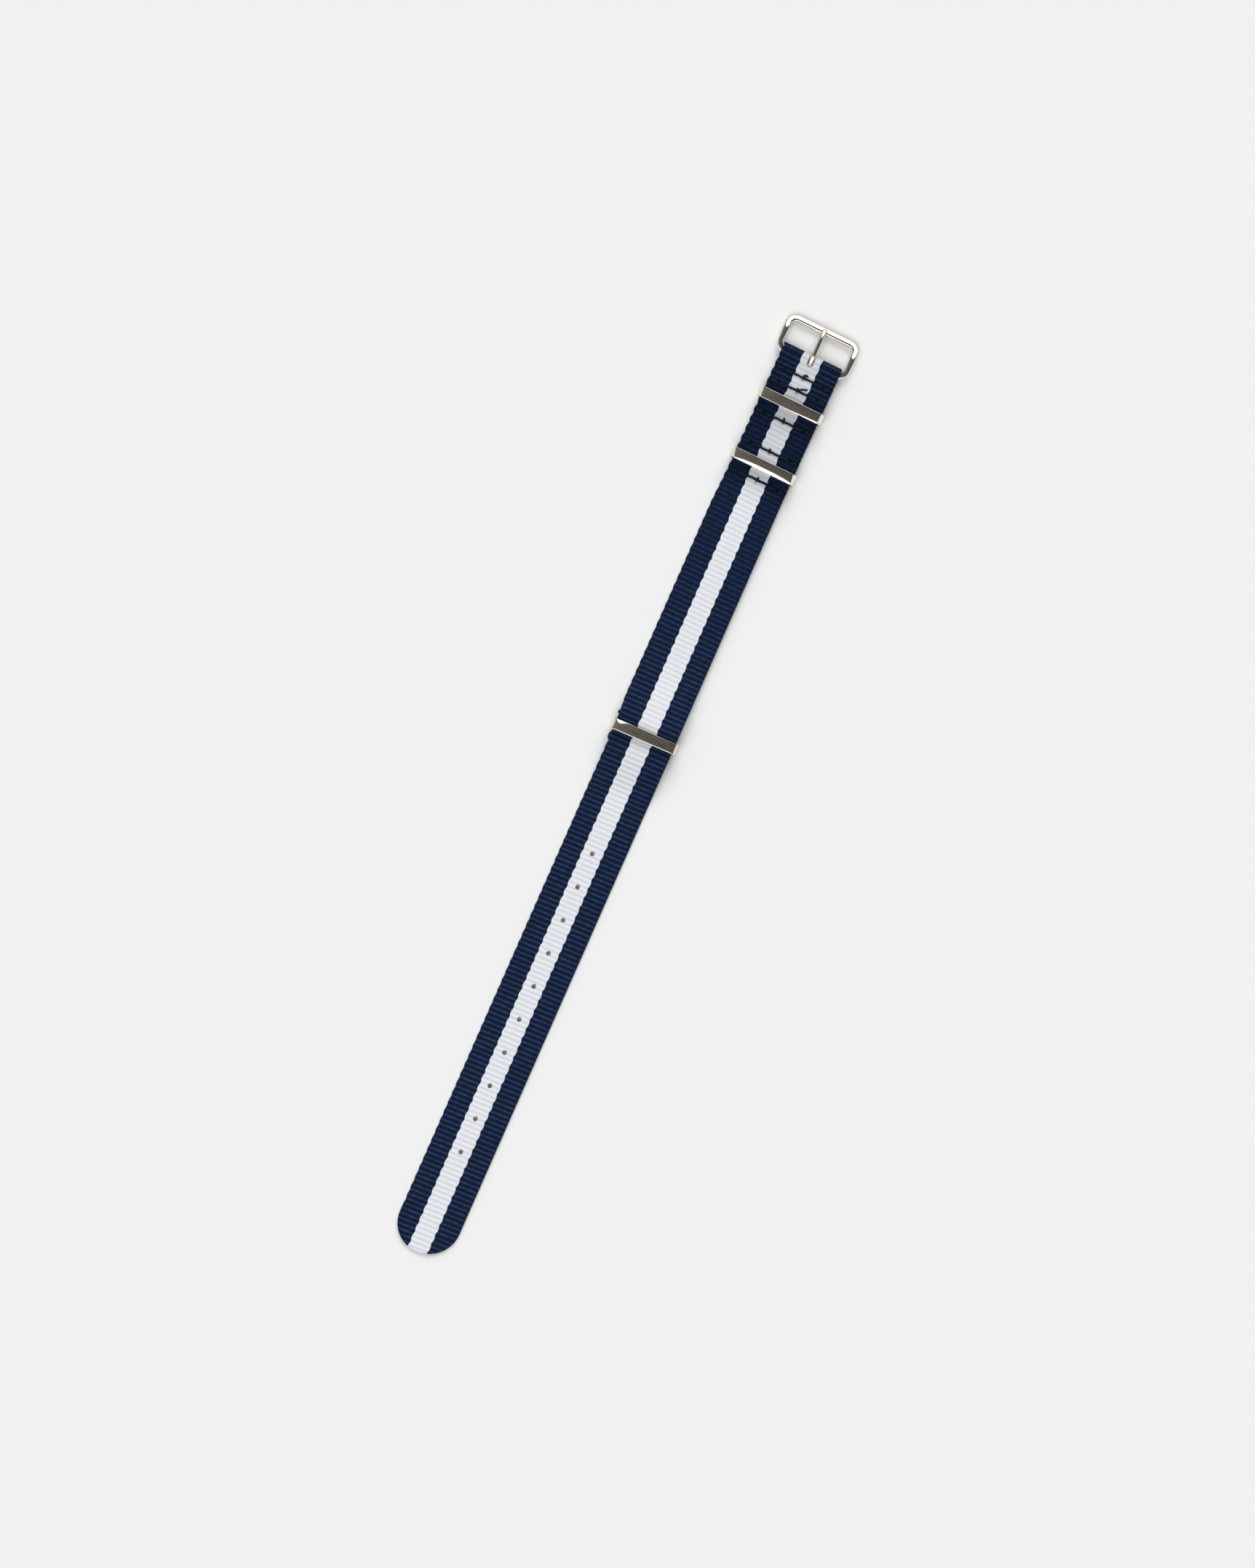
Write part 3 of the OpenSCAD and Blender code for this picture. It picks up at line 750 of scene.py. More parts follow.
def woven(name, path, cloth, columns, relief, sizes, openings=(), tip=False, drift=False):
    """A length of webbing: a grid laid along its path, cut, then given its thickness."""
    clear_selection()
    bpy.ops.mesh.primitive_grid_add(
        x_subdivisions=len(columns) - 1, y_subdivisions=len(cloth) - 1, size=1)
    piece = named(name)
    x, along = (a.ravel() for a in np.meshgrid(columns, cloth))
    quads = corner_table(piece)
    gone = np.zeros(len(quads), bool)
    for opening in openings:
        gone |= opening(x[quads].mean(1), along[quads].mean(1)) < 0
    rim = np.intersect1d(quads[gone], quads[~gone])
    for opening in openings:
        snap_rim(x, along, rim, opening)

    s, z = path(along)
    across, from_edge, at_tip = x, HALF_W - np.abs(x), False
    if tip:
        past = s - (TIP_S - HALF_W)
        half = np.sqrt(HALF_W ** 2 - np.clip(past, 0, HALF_W) ** 2)
        across = x * half / HALF_W
        from_edge = np.where(past > 0, HALF_W - np.hypot(across, past), from_edge)
        at_tip = past > -2
    wave = np.where(at_tip, 0, wavy_edge(x, along, s, sizes.rib_pitch / MM))
    wide = across + np.sign(x) * wave
    if drift:
        wide = wide + np.interp(s, DRIFT_S, DRIFT)

    ahead_s, ahead_z = path(along + 0.01)
    run_s, run_z = ahead_s - s, ahead_z - z
    length = np.hypot(run_s, run_z)
    out_s, out_z = -run_z / length, run_s / length
    outer, inner = relief(x, along, s)
    valley = rib_valley(along, s, sizes)
    rounding = np.sqrt(1 - (1 - np.clip(from_edge / EDGE_W, 0, 1)) ** 2)
    thickness = (WEB_T - 2 * valley - outer - inner) * (EDGE_SHARE + (1 - EDGE_SHARE) * rounding)
    lift = (inner - outer) / 2
    write_points(piece, np.stack([wide, BAR_Y - (s + out_s * lift), z + out_z * lift], 1))

    cloth_map = piece.data.uv_layers[0]
    cloth_map.name = CLOTH_MAP
    corners = quads.ravel()
    cloth_map.data.foreach_set("uv", np.stack([across[corners], along[corners]], 1).ravel())
    # Painted shade at the needle holes, kept on the mesh for the material to read
    marks = piece.data.attributes.new(NEEDLE_SHADE, "FLOAT", "POINT")
    marks.data.foreach_set("value", needle_shade_mask(x, s))
    group = piece.vertex_groups.new(name="thickness")
    for index, share in enumerate(np.clip(thickness / WEB_T, 0.05, 1)):
        group.add([index], float(share), "REPLACE")
    if gone.any():
        delete_faces(piece, gone)
    apply_modifier(piece, "SOLIDIFY", thickness=WEB_T * MM, offset=0.0,
                   vertex_group="thickness", thickness_vertex_group=0.0)
    piece.vertex_groups.clear()
    return piece


def column_list(step, middle_step, middle_half):
    """Places across the webbing: close at the edges and in the middle."""
    edge = [HALF_W - d for d in (0, 0.05, 0.14, 0.3, 0.55, 0.9)]
    span = edge[-1] - middle_half
    body = np.linspace(middle_half, edge[-1], round(span / step), endpoint=False)
    middle = np.arange(0, middle_half - 1e-6, middle_step)
    right = np.concatenate([middle, body, edge[::-1]])
    return np.concatenate([-right[:0:-1], right])


def cloth_list(start, end, step=0.176):
    return np.linspace(start, end, round((end - start) / step) + 1)


def oval_hole(centre, width, length, lean):
    """Signed distance from a slightly uneven oval hole's edge."""
    def distance(x, along):
        dx, ds = x / width, (along - centre) / length
        uneven = 1 + 0.07 * np.sin(2 * np.arctan2(ds, dx) + lean)
        return (np.hypot(dx, ds) - uneven) * (width + length) / 2
    return distance


def slot(x, along):
    """Signed distance from the edge of the tongue's slot, which runs round the fold."""
    start = -MAIN_ARC - SLOT_BOTTOM + SLOT_HALF
    nearest = np.clip(along, start, SLOT_TOP - SLOT_HALF)
    return np.hypot(x, along - nearest) - SLOT_HALF


def valley_near(s, sizes):
    """The middle of the valley between two ribs that is nearest to s."""
    rib = sizes.rib_pitch / MM
    return RIB_CREST + (math.floor((s - RIB_CREST) / rib) + 0.5) * rib


class WeaveMainStrap(bpy.types.Operator):
    """Weave the main strap in four lengths that meet end to end"""

    bl_idname = "strap.weave_main"
    bl_label = "Weave main strap"

    def execute(self, context):
        sizes = context.scene.strap_webbing
        material = webbing_material("striped_webbing", sizes)
        cuts = [valley_near(s, sizes) for s in CUTS]
        columns = column_list(step=0.33, middle_step=0.15, middle_half=1.5)
        tail_end = TIP_S - HALF_W + HALF_W * np.sin(np.linspace(0.95, 1.5, 14))
        tail = np.concatenate([cloth_list(cuts[2], tail_end[0])[:-1], tail_end])
        lengths = [
            ("main_strap_head", cloth_list(-MAIN_ARC - FLAP_END, cuts[0]),
             ("head", "seat"), "head_bend", HEAD_REACH, ["main_strap_head"]),
            ("main_strap_seat", cloth_list(cuts[0], cuts[1]),
             ("seat", "tail_1"), "tail_bend_1", TAIL_REACH, ["main_strap_seat"]),
            ("main_strap_upper_tail", cloth_list(cuts[1], cuts[2]),
             ("tail_1", "tail_2"), "tail_bend_2", TAIL_REACH, ["main_strap_tail_1"]),
            ("main_strap_lower_tail", tail, ("tail_2", "tail_3"), "tail_bend_3", TAIL_REACH,
             ["main_strap_tail_2", "main_strap_tail_3"]),
        ]
        holes = [FIRST_HOLE + i * HOLE_PITCH for i in range(HOLES)]
        for name, cloth, bodies, bend_name, reach, replaced in lengths:
            openings = [
                oval_hole(hole, sizes.hole_width / MM / 2, sizes.hole_length / MM / 2, 1.9 * i)
                for i, hole in enumerate(holes) if cloth[0] < hole < cloth[-1]]
            if cloth[0] < 0:
                openings.append(slot)
            piece = woven(name + "_webbing", main_path, cloth, columns, main_relief, sizes,
                          openings, tip=cloth is tail)
            finish_piece(piece, material, replaced)
            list(bodies)
            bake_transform(piece)
        return {"FINISHED"}


class WeaveShortStrap(bpy.types.Operator):
    """Weave the short strap that lies next to the wrist and folds round the end keeper"""

    bl_idname = "strap.weave_short"
    bl_label = "Weave short strap"

    def execute(self, context):
        sizes = context.scene.strap_webbing
        material = webbing_material("striped_webbing_under", sizes, shade=0.9, pierced=False)
        cloth = cloth_list(SHORT_START, FOLD_S + SHORT_ARC + FOLD_S - LAP_END)
        columns = column_list(step=0.36, middle_step=0.3, middle_half=1.5)
        piece = woven("short_strap_webbing", short_path, cloth, columns, short_relief, sizes,
                      drift=True)
        finish_piece(piece, material, ["short_strap_head", "short_strap_seat"])
        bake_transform(piece)
        return {"FINISHED"}


# Steel

def squared(place, power):
    """Moves places between -1 and 1 outwards, which squares a round section."""
    return np.sign(place) * np.abs(place) ** power


def around_outline(points, sides, profile):
    """A closed rod: a torus whose rings are laid along an outline of (x, y, radius) points."""
    clear_selection()
    bpy.ops.mesh.primitive_torus_add(major_segments=len(points), minor_segments=sides)
    x, y, radius = np.array(points).T
    run = np.stack([np.roll(x, -1) - np.roll(x, 1), np.roll(y, -1) - np.roll(y, 1)])
    run /= np.hypot(*run)
    angle = np.arange(sides) * 2 * math.pi / sides
    wide, high = profile(angle)
    ring = radius[:, None] * wide
    return np.stack([
        x[:, None] + run[1][:, None] * ring,
        y[:, None] - run[0][:, None] * ring,
        radius[:, None] * high,
    ], 2).reshape(-1, 3)


# The frame's middle line, flat: how far out its sides lie, where they bend down and how far,
# where the far bar lies, and the bend radii of its corners
SIDE_X = 10.15
KNEE_Y, KNEE_R, KNEE_ANGLE = 5.7, 5.0, math.radians(16.0957)
FAR_Y = KNEE_Y + KNEE_R * KNEE_ANGLE + 3.0
NEAR_BEND, FAR_BEND = 2.7, 2.3

# Radii of its rod: near bar, after the near corner, before and after the far one, far bar.
# It thickens along the sides after the near corner, and along the far bar inside its shoulders
ROD_R = (0.65, 0.80, 0.96, 1.12, 1.17)
SIDE_RUN, SHOULDER_X, SHOULDER_RUN = 3, 6.6, 1.6


def frame_outline():
    """The frame's middle line before its knee is bent, counter-clockwise from the bar's middle."""
    def corner(cx, cy, bend, start, r0, r1):
        for share in np.arange(13) / 12:
            turn = math.radians(start + 90 * share)
            yield cx + bend * math.cos(turn), cy + bend * math.sin(turn), r0 + (r1 - r0) * share

    bar, low, knee, high, far = ROD_R
    right = [(x, 0, bar) for x in np.linspace(0, SIDE_X - NEAR_BEND, 8)[:-1]]
    right += corner(SIDE_X - NEAR_BEND, NEAR_BEND, NEAR_BEND, -90, bar, low)
    right += [(SIDE_X, y, low + (knee - low) * ease((y - NEAR_BEND) / SIDE_RUN))
              for y in np.linspace(NEAR_BEND, FAR_Y - FAR_BEND, 26)[1:-1]]
    right += corner(SIDE_X - FAR_BEND, FAR_Y - FAR_BEND, FAR_BEND, 0, knee, high)
    right += [(x, FAR_Y, far + (high - far) * ease((x - SHOULDER_X) / SHOULDER_RUN))
              for x in np.linspace(SIDE_X - FAR_BEND, 0, 18)[1:]]
    return right + [(-x, y, r) for x, y, r in right[-2:0:-1]]


def bend_knee(points):
    """Turns what lies past the knee down onto the ground, about the knee's axis."""
    y, z = points[:, 1], points[:, 2]
    angle = np.clip((y - KNEE_Y) / KNEE_R, 0, KNEE_ANGLE)
    past = np.maximum(y - KNEE_Y - KNEE_R * KNEE_ANGLE, 0)
    level = np.minimum(y, KNEE_Y)
    lift = KNEE_R + z
    points[:, 1] = level + lift * np.sin(angle) + past * np.cos(angle)
    points[:, 2] = lift * np.cos(angle) - KNEE_R - past * np.sin(angle)
    return points


class ForgeBuckle(bpy.types.Operator):
    """Forge the buckle's frame, flattened on top, from one closed rod"""

    bl_idname = "strap.forge_buckle"
    bl_label = "Forge buckle frame"

    def execute(self, context):
        metal = context.scene.strap_hardware

        def flat_topped(angle):
            wide, high = np.cos(angle), np.sin(angle)
            top = metal.frame_flat * np.abs(high) ** 0.82
            return np.where(high > 0, squared(wide, 0.7), wide), np.where(high > 0, top, high)

        points = bend_knee(around_outline(frame_outline(), 32, flat_topped))
        piece = named("buckle_frame_polished")
        write_points(piece, points + [0, BAR_Y, BAR_Z])
        tidy_shell(piece)
        material = steel_material("buckle_steel", metal, 0.055, 0.08)
        finish_piece(piece, material, ["buckle_frame"], 60)
        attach(piece, "buckle")
        return {"FINISHED"}


def rods(name, lines, radius, roundness):
    """Round rods along lines, each a pair of points and radii, as one closed mesh."""
    clear_selection()
    bpy.ops.curve.primitive_nurbs_path_add()
    piece = named(name)
    curve = piece.data
    curve.splines.clear()
    curve.dimensions = "3D"
    curve.bevel_depth = radius * MM
    curve.bevel_resolution = roundness
    curve.use_fill_caps = True
    for points, radii in lines:
        spline = curve.splines.new("POLY")
        spline.points.add(len(points) - 1)
        spline.points.foreach_set("co", np.column_stack(
            [np.asarray(points) * MM, np.ones(len(points))]).ravel())
        spline.points.foreach_set("radius", np.asarray(radii, float))
    select_only(piece)
    bpy.ops.object.convert(target="MESH")
    piece = named(name)
    tidy_shell(piece)
    return piece


def distances(points):
    """How far each point lies along the line of points."""
    steps = np.linalg.norm(np.diff(points, axis=0), axis=1)
    return np.concatenate([[0], np.cumsum(steps)])


def smooth_line(points, count):
    """A smooth curve through points, sampled evenly by its length."""
    points = np.array(points, float)
    padded = np.vstack([2 * points[0] - points[1], points, 2 * points[-1] - points[-2]])
    fine = []
    for a, b, c, d in zip(padded, padded[1:], padded[2:], padded[3:]):
        t = np.linspace(0, 1, 24, endpoint=False)[:, None]
        fine.append(0.5 * (2 * b + (c - a) * t + (2 * a - 5 * b + 4 * c - d) * t**2
                           + (3 * b - a - 3 * c + d) * t**3))
    fine = np.vstack([*fine, points[-1:]])
    far = distances(fine)
    even = np.linspace(0, far[-1], count)
    return np.column_stack([np.interp(even, far, fine[:, k]) for k in range(fine.shape[1])])


def domed(points, radii, cap):
    """Adds a round cap to the last point of a rod."""
    points, radii = list(points), list(radii)
    way = (points[-1] - points[-2]) / np.linalg.norm(points[-1] - points[-2])
    end, size = points[-1], radii[-1]
    for turn in np.linspace(0, math.pi / 2, 9)[1:-1]:
        points.append(end + way * cap * math.sin(turn))
        radii.append(size * math.cos(turn))
    points.append(end + way * cap)
    radii.append(size * 0.06)
    return np.array(points), np.array(radii)


# The tongue's middle line from the bar: x, distance from the bar's axis and height above it
TONGUE_LINE = [(0, -0.35, 0.43), (0, 0.6, 0.70), (0, 2.0, 1.15), (0, 3.2, 1.44), (0, 4.6, 1.57),
               (0, 6.0, 1.60), (0, 7.5, 1.54), (0, 8.6, 1.32), (0, 9.8, 0.88)]
TONGUE_Y, TONGUE_R = (0, 2, 5, 9, 10.2), (0.80, 0.80, 0.79, 0.72, 0.69)

# Outer and inner radius of its eye, and half the thickness and half the width of the eye's strip
EYE_OUTER, EYE_INNER, EYE_HALF_T, EYE_HALF_W = 1.25, 0.71, 0.27, 0.84


class ForgeTongue(bpy.types.Operator):
    """Forge the tongue with its eye round the bar and its tip on the far bar"""

    bl_idname = "strap.forge_tongue"
    bl_label = "Forge tongue"

    def execute(self, context):
        line = smooth_line(TONGUE_LINE, 60)
        radii = np.interp(line[:, 1], TONGUE_Y, TONGUE_R)
        line, radii = domed(line, radii, 0.62)
        line, radii = domed(line[::-1], radii[::-1], 0.35)
        rod = rods("buckle_tongue_polished", [(line, radii)], 1.0, 6)
        points = read_points(rod)
        points[:, 0] = TONGUE_R[0] * squared(points[:, 0] / TONGUE_R[0], 0.75)
        write_points(rod, points)

        def eye_section(angle):
            return (EYE_HALF_T * squared(np.cos(angle), 0.45),
                    EYE_HALF_W * squared(np.sin(angle), 0.45))

        middle = (EYE_OUTER + EYE_INNER) / 2
        turns = np.arange(40) * 2 * math.pi / 40
        rings = around_outline(
            [(middle * math.cos(t), middle * math.sin(t), 1) for t in turns], 20, eye_section)
        eye = named("tongue_eye")
        write_points(eye, rings[:, [2, 0, 1]])
        tidy_shell(eye)
        apply_modifier(rod, "BOOLEAN", object=eye, operation="UNION", solver="EXACT")
        select_only(eye)
        bpy.ops.object.delete()
        write_points(rod, read_points(rod) + [0, BAR_Y, BAR_Z])
        material = steel_material("tongue_steel", context.scene.strap_hardware, 0.06, 0.08)
        finish_piece(rod, material, ["buckle_tongue"], 45)
        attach(rod, "tongue")
        return {"FINISHED"}


# A keeper's wall, the bevel of its lower corners, the number of steps along its strip, and the
# angle from which an edge is bevelled
KEEPER_WALL, KEEPER_FOOT, KEEPER_STEPS, KEEPER_CREASE = 0.6, 0.3, 24, math.radians(28)


def keeper_outline(node, corners):
    """The keeper's outline, counter-clockwise, from its upper corner's (in, down) distances."""
    high_x = node_span(node, 0)[1]
    low_z, high_z = node_span(node, 2)
    right = [(high_x - KEEPER_FOOT, low_z), (high_x, low_z + KEEPER_FOOT)]
    right += [(high_x - a, high_z - b) for a, b in corners]
    top = [(x, high_z) for x in np.linspace(right[-1][0], -right[-1][0], 29)[1:-1]]
    return right + top + [(-x, z) for x, z in right[::-1]]


def keeper_shell(name, node, outline, metal, corner, mitre, turned):
    """A keeper's strip: its outline drawn along the strap, shaped and thickened inwards.

    corner is how far in the upper corners start. mitre stretches that, first at the left and
    then at the right, on the buckle's side and on the tip's side. turned gives the shares of the
    strip's width beyond which its top turns down on the tip's side and on the buckle's.
    """
    low_y, high_y = node_span(node, 1)
    low_z, high_z = node_span(node, 2)
    edge_x = node_span(node, 0)[1]
    clear_selection()
    bpy.ops.mesh.primitive_circle_add(vertices=len(outline), fill_type="NOTHING")
    piece = named(name)
    write_points(piece, [(x, low_y, z) for x, z in outline])
    bpy.ops.object.mode_set(mode="EDIT")
    bpy.ops.mesh.select_all(action="SELECT")
    for _ in range(KEEPER_STEPS):
        bpy.ops.mesh.extrude_region_move(TRANSFORM_OT_translate={
            "value": (0, (high_y - low_y) / KEEPER_STEPS * MM, 0)})
    bpy.ops.object.mode_set(mode="OBJECT")

    x, y, z = read_points(piece).T
    down = (high_y - y) / (high_y - low_y)
    upper = z > (low_z + high_z) / 2
    buckle_side = np.where(x < 0, mitre[0], mitre[2])
    tip_side = np.where(x < 0, mitre[1], mitre[3])
    stretch = buckle_side + (tip_side - buckle_side) * down
    inset = edge_x - np.abs(x)
    between = np.abs(x) * (edge_x - corner * stretch) / (edge_x - corner)
    shaped = np.where(inset < corner + 0.01, edge_x - inset * stretch, between)
    x = np.where(upper, np.sign(x) * shaped, x)
    tip_turn, buckle_turn = turned(x / edge_x)
    past = np.maximum(down - tip_turn, 0) + np.maximum(buckle_turn - down, 0)
    past *= high_y - low_y
    crown = metal.crown / MM * (2 * down - 1) ** 2
    crown = crown + metal.dome / MM * (x / edge_x) ** 2
    z = z - np.where(upper, crown + past * math.tan(metal.turned_edge), -0.2 * crown)
    write_points(piece, np.stack([x, y, z], 1))
    outward = sum(face.normal.z for face in piece.data.polygons
                  if face.center.z / MM > high_z - 0.5)
    apply_modifier(piece, "SOLIDIFY", thickness=KEEPER_WALL * MM,
                   offset=math.copysign(1.0, -outward), use_even_offset=True)
    tidy_shell(piece)
    apply_modifier(piece, "BEVEL", width=metal.edge, segments=3, limit_method="ANGLE",
                   angle_limit=KEEPER_CREASE)
    return piece


class ForgeKeepers(bpy.types.Operator):
    """Forge the two bevelled keepers and the rounder end keeper"""

    bl_idname = "strap.forge_keepers"
    bl_label = "Forge keepers"

    def execute(self, context):
        metal = context.scene.strap_hardware
        material = steel_material("keeper_steel", metal, 0.075, 0.12)
        bevelled = [(0, 0.9), (0.9, 0)]
        turns = np.radians(np.linspace(0, 90, 7))
        rounded = [(1.05 - 1.05 * math.cos(t), 1.05 - 1.05 * math.sin(t)) for t in turns]

        # Node, upper corner, and then mitre and turned as keeper_shell takes them
        shapes = (
            ("first_keeper", bevelled, (0.75, 1.1, 1.1, 1.3),
             lambda x: (0.94 - 0.14 * ease((x + 0.3) / 1.3), 0)),
            ("second_keeper", bevelled, (0.55, 1.4, 1.4, 0.9),
             lambda x: (0.66 + 0.24 * np.abs(x - 0.1) ** 3, 0)),
            ("end_keeper", rounded, (2.2, 0.9, 2.3, 0.8),
             lambda x: (0.93, 0.32 * bump(x + 0.79, 0.15))),
        )
        for node, corners, mitre, turned in shapes:
            corner = max(a for a, b in corners)
            piece = keeper_shell(node + "_polished", node, keeper_outline(node, corners),
                                 metal, corner, mitre, turned)
            finish_piece(piece, material, [node], 20)
            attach(piece, node)
        return {"FINISHED"}


# Sewing thread

# How far the thread lies above the cloth, how deep it dives, and the bobbin threads' height
THREAD_LIFT, DIP, BOBBIN_Z = 0.03, 0.95, 0.36


def twisted(line, thread, phase=0.0, plies=3):
    """The plies of a thread that twist round a line of points, thin at both ends."""
    line = np.array(line)
    run = np.gradient(line, axis=0)
    run /= np.linalg.norm(run, axis=1)[:, None]
    far = distances(line)
    first = np.cross(run, (0, 0, 1.0))
    flat = np.linalg.norm(first, axis=1) < 1e-3
    first[flat] = (1, 0, 0)
    first /= np.linalg.norm(first, axis=1)[:, None]
    second = np.cross(run, first)
    offset = thread.ply_radius / MM * 0.95
    for ply in range(plies):
        turn = 2 * math.pi * (far / (thread.twist / MM) + ply / plies) + phase
        around = np.cos(turn)[:, None] * first + 0.7 * np.sin(turn)[:, None] * second
        radii = np.minimum(1, 0.35 + 0.65 * np.minimum(far, far[-1] - far) / 0.4)
        yield line + around * offset, radii


def stitch_line(s, surface, side):
    """One thread's line across the strap, diving into the webbing at each needle point."""
    x = np.linspace(NEEDLE_X[0] - 0.1, NEEDLE_X[-1] + 0.1, 200)
    dip = sum(bump(x - point, width) for point, width in zip(NEEDLE_X, DIP_WIDTHS))
    sag = 0.05 * np.sin(x * 1.7 + s)
    return np.column_stack([x, BAR_Y - s + sag, surface + side * (THREAD_LIFT - DIP * dip)])


# Loose ends of the threads by row: x, distance towards the tip, and height above the row
LOOSE_ENDS = {
    1: [[(-0.13, 0.35, 0.15), (-0.08, 0.0, 0.42), (-0.06, -0.55, 0.30), (0.04, -1.05, 0.16)],
        [(-0.08, 0.1, 0.35), (0.27, -0.55, 0.35), (0.54, -0.95, 0.30), (0.84, -0.88, 0.24),
         (1.04, -0.62, 0.2)]],
    2: [[(-0.18, 0.4, 0.12), (-0.13, 0.0, 0.42), (0.42, -0.45, 0.36), (1.12, -0.95, 0.28),
         (1.82, -1.12, 0.24), (2.42, -1.5, 0.3)],
        [(-0.08, 0.3, 0.3), (-0.18, -0.3, 0.38), (-0.43, -0.75, 0.2)]],
    3: [[(-0.13, 0.5, 0.12), (-0.03, 0.0, 0.45), (-0.10, -0.5, 0.34), (-0.24, -0.95, 0.24),
         (-0.06, -1.2, 0.2)]],
    4: [[(0.02, 0.45, 0.12), (-0.08, 0.05, 0.44), (-0.20, -0.45, 0.34), (-0.28, -0.8, 0.2)]],
    5: [[(-0.43, 0.35, 0.1), (-0.18, 0.15, 0.42), (0.0, -0.35, 0.36), (-0.02, -0.85, 0.26),
         (-0.18, -1.15, 0.2)]],
    6: [],
}

# The knot of row 6, which shows at the strap's left edge
EDGE_KNOT = [(-8.4, 0.1, 0.1), (-9.0, 0.25, 0.0), (-9.25, 0.0, -0.35), (-9.0, -0.25, -0.6),
             (-8.7, 0.15, -0.4), (-9.1, 0.2, -0.1)]

# Turns distances towards the tip into the scene's y
TIPWARDS = np.array([1, -1, 1])


def sew_row(kind, row, lines, thread, material):
    """Makes one row's needle or bobbin thread from its lines. The last row is on the seat."""
    piece = rods(f"{kind}_thread_row_{row}", lines, thread.ply_radius / MM, 2)
    finish_piece(piece, material, [f"stitch_{row}_{kind}_thread"], 60)
    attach(piece, "seat" if row == len(ROWS) else "head")


class SewNeedleThreads(bpy.types.Operator):
    """Sew the needle threads, which show on top of the head"""

    bl_idname = "strap.sew_needle"
    bl_label = "Sew needle threads"

    def execute(self, context):
        thread = context.scene.strap_thread
        material = thread_material("sewing_thread", thread)

        # Height of the cloth's top at each row
        tops = [SEWN_TOP + WEB_T] * 2 + [2 * WEB_T] * 3 + [LAP_Z + WEB_T]
        for row, (s, top) in enumerate(zip(ROWS, tops), 1):
            lines = list(twisted(stitch_line(s, top, 1), thread, 0.8 * (row - 1)))
            above = np.array([0, BAR_Y - s, top])
            for end in LOOSE_ENDS[row]:
                lines += twisted(smooth_line(above + end * TIPWARDS, 26), thread, 1.3, plies=2)
            if row == len(ROWS):
                lines += twisted(smooth_line(above + EDGE_KNOT * TIPWARDS, 40), thread)
            sew_row("needle", row, lines, thread, material)
        return {"FINISHED"}


class SewBobbinThreads(bpy.types.Operator):
    """Sew the bobbin threads, sunk in the wrist side"""

    bl_idname = "strap.sew_bobbin"
    bl_label = "Sew bobbin threads"

    def execute(self, context):
        thread = context.scene.strap_thread
        material = thread_material("bobbin_thread", thread)
        for row, s in enumerate(ROWS, 1):
            lines = twisted(stitch_line(s, BOBBIN_Z, -1), thread, 0.5 * (row - 1))
            sew_row("bobbin", row, list(lines), thread, material)
        return {"FINISHED"}


# Stage

# Strength of the even dome, and of the backdrop that the camera itself would see
DOME, BACKDROP = 0.13, 0.88


def studio_world():
    """An even dim dome; in the steel it is dark overhead and bright at the ends and sides."""
    world = bpy.data.worlds.new("studio")
    bpy.context.scene.world = world
    world.use_nodes = True
    n = Nodes(world.node_tree)
    look = n.add("ShaderNodeTexCoord").outputs["Generated"]
    x, y, z = n.add("ShaderNodeSeparateXYZ", {0: look}).outputs
    side = n.math("ABSOLUTE", x)

    # Bright panels beyond the buckle, beyond the tip and low at both sides
    high = n.step(z, 0.22, 0.42)
    narrow = n.minus(1.0, n.step(side, 0.50, 0.72))
    wedge = n.minus(y, n.times(side, 0.45))
    buckle_end = n.times(n.step(wedge, 0.26, 0.36), n.times(narrow, high))
    tip_end = n.times(n.step(n.times(y, -1.0), 0.36, 0.46), high)
    ends = n.math("MAXIMUM", buckle_end, tip_end)
    walls = n.times(n.step(side, 0.80, 0.995), n.slope(x, -0.8, 0.8, 0.60, 0.80))
    bright = n.math("MAXIMUM", n.times(ends, 1.4), walls)

    # A dim ceiling in soft patches, darker towards the right
    patches = n.step(n.noise(n.stretched(look, (16.0, 34.0, 10.0))), 0.35, 0.65)
    ceiling = n.times(n.slope(x, -0.12, 0.09, 0.17, 0.085), n.plus(0.62, n.times(patches, 0.8)))
    shoulder = n.times(n.step(side, 0.50, 0.95), 0.12)
    studio = n.plus(n.plus(ceiling, shoulder), bright)

    ray = n.add("ShaderNodeLightPath").outputs
    mirrored = n.times(ray["Is Glossy Ray"], n.minus(studio, DOME))
    seen = n.times(ray["Is Camera Ray"], BACKDROP - DOME)
    warm = n.times(ray["Is Glossy Ray"], n.minus(1.0, bright, clamp=True))
    light = n.add("ShaderNodeBackground", {
        "Color": n.blend(warm, (1, 1, 1, 1), (1.0, 0.945, 0.90, 1.0)),
        "Strength": n.plus(DOME, n.plus(mirrored, seen))})
    n.add("ShaderNodeOutputWorld", {"Surface": light.outputs[0]})


def soft_sun(name, place, spread, strength):
    """A sun lamp that shines from a place and is kept out of the steel's reflections."""
    clear_selection()
    bpy.ops.object.light_add(type="SUN", location=place)
    lamp = named(name)
    lamp.data.energy = strength
    lamp.data.angle = spread
    lamp.rotation_euler = lamp.location.to_track_quat("Z", "Y").to_euler()
    lamp.visible_glossy = False


# Over the strap, turned as the strap lies in the photograph
CAMERA_PLACE = (1.2 * MM, 2.2 * MM, 1.205)
CAMERA_TURN = math.radians(23.73)


# The ground lies a hair below the strap
GROUND_SIZE, GROUND_Z = 6.0, -0.02 * MM


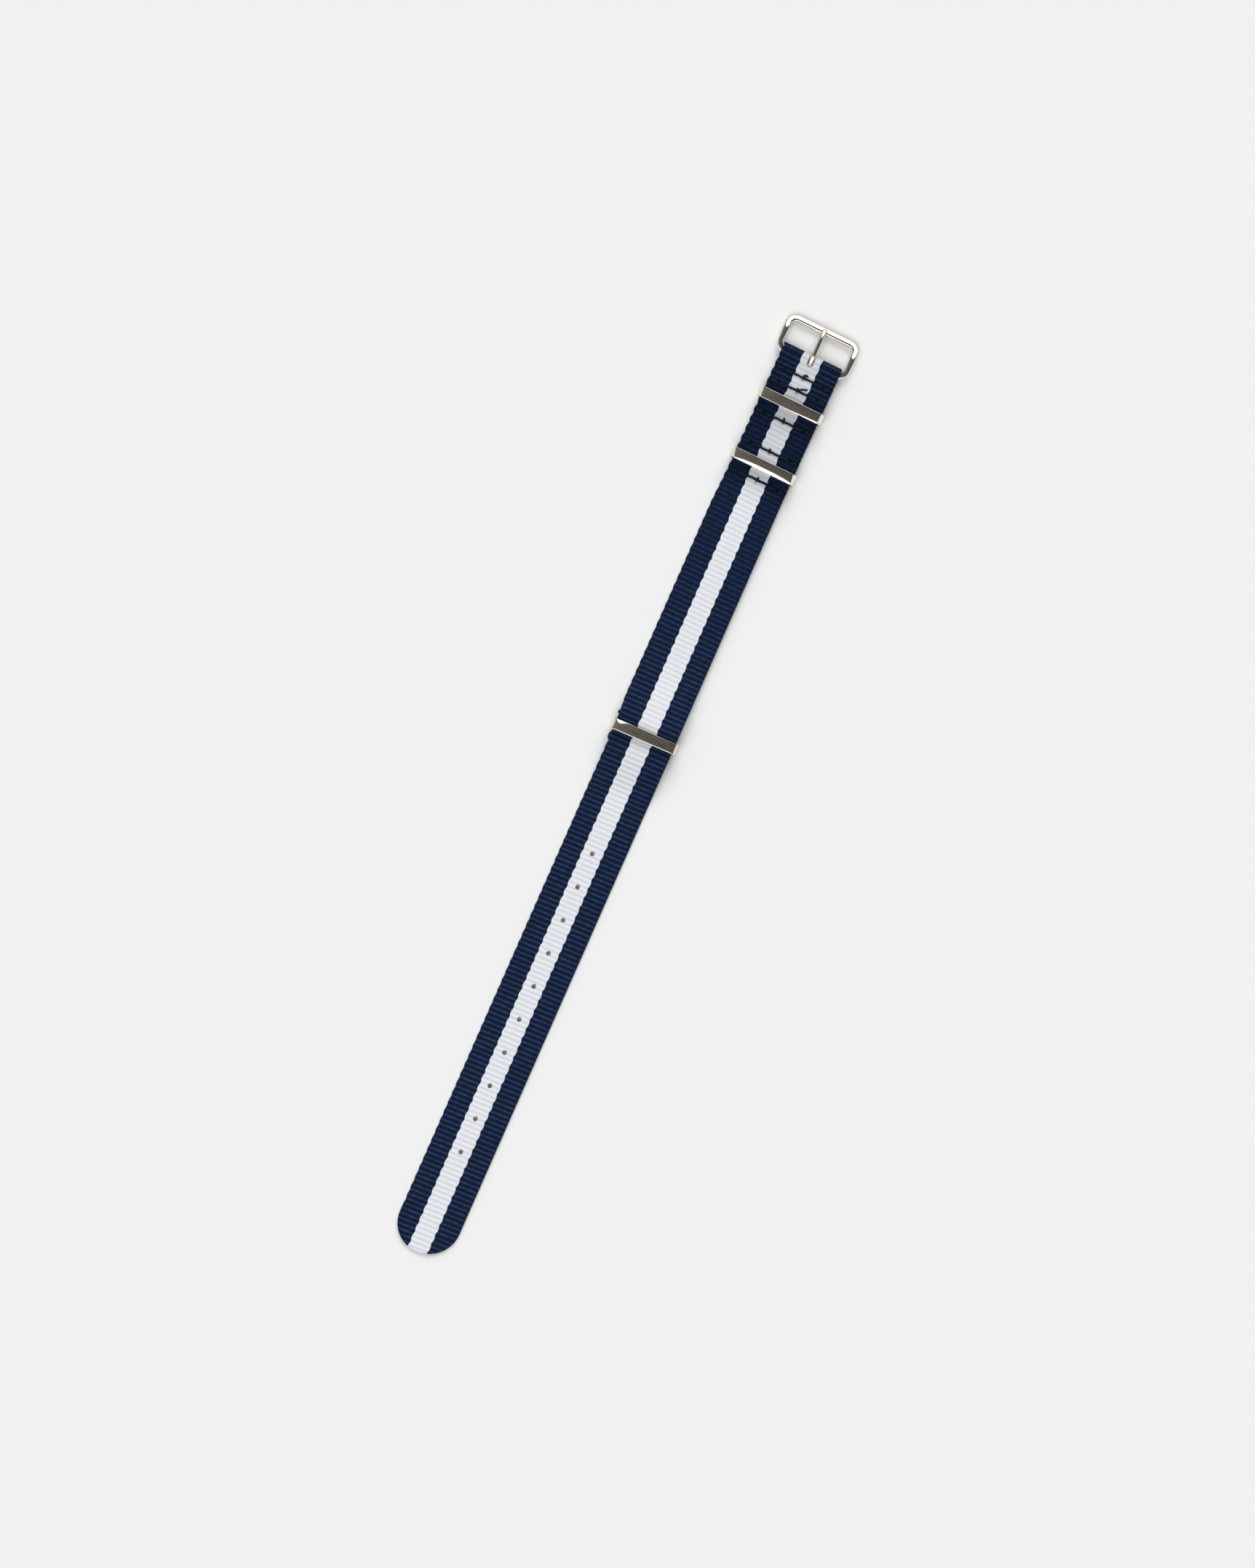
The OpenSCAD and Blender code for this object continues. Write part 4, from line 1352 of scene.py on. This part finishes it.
class SetStage(bpy.types.Operator):
    """Lay the pale ground, place the soft light and look straight down as the photograph does"""

    bl_idname = "strap.set_stage"
    bl_label = "Set stage"

    def execute(self, context):
        stage = context.scene.strap_stage
        clear_selection()
        bpy.ops.mesh.primitive_plane_add(size=GROUND_SIZE, location=(0, 0, GROUND_Z))
        ground = named("ground")
        material = new_material("pale_ground", {
            "Base Color": rgba(stage.ground), "Roughness": 0.9, "Specular IOR Level": 0.1})[0]
        ground.data.materials.append(material)
        ground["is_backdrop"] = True
        studio_world()
        soft_sun("left_lamp", (-1.0, 0.1, 1.0), stage.spread, stage.left)
        soft_sun("buckle_end_lamp", (-0.11, 1.0, 0.85), stage.spread, stage.buckle_end)
        soft_sun("tip_end_lamp", (-0.11, -1.0, 1.5), stage.spread, stage.tip_end)
        clear_selection()
        bpy.ops.object.camera_add(location=CAMERA_PLACE, rotation=(0, 0, CAMERA_TURN))
        camera = named("photograph_camera")
        camera.data.lens = 100
        camera.data.sensor_width = 36
        camera.data.clip_end = 20
        context.scene.camera = camera
        context.scene.view_settings.view_transform = "Standard"
        return {"FINISHED"}


OPERATORS = (WeaveMainStrap, WeaveShortStrap, ForgeBuckle, ForgeTongue, ForgeKeepers,
             SewNeedleThreads, SewBobbinThreads, SetStage)
SETTINGS = {"strap_webbing": WebbingSettings, "strap_hardware": HardwareSettings,
            "strap_thread": ThreadSettings, "strap_stage": StageSettings}


class StrapPanel(bpy.types.Panel):
    """Buttons for the strap's pieces, and their sizes and colours"""

    bl_idname = "VIEW3D_PT_watch_strap"
    bl_label = "Watch strap"
    bl_space_type = "VIEW_3D"
    bl_region_type = "UI"
    bl_category = "Watch strap"

    def draw(self, context):
        for operator in OPERATORS:
            self.layout.operator(operator.bl_idname)
        for name, group in SETTINGS.items():
            box = self.layout.box()
            for key in group.__annotations__:
                box.prop(getattr(context.scene, name), key)


def register():
    for cls in (*SETTINGS.values(), *OPERATORS, StrapPanel):
        bpy.utils.register_class(cls)
    for name, group in SETTINGS.items():
        setattr(bpy.types.Scene, name, bpy.props.PointerProperty(type=group))


def unregister():
    for name in SETTINGS:
        delattr(bpy.types.Scene, name)
    for cls in (StrapPanel, *OPERATORS[::-1], *SETTINGS.values()):
        bpy.utils.unregister_class(cls)


def main():
    register()
    for operator in OPERATORS:
        group, action = operator.bl_idname.split(".")
        getattr(getattr(bpy.ops, group), action)()
    boxes = {"cad": cad_box, "scene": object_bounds()}
    {name: [list(corner) for corner in box] for name, box in boxes.items()}


if __name__ == "__main__":
    main()
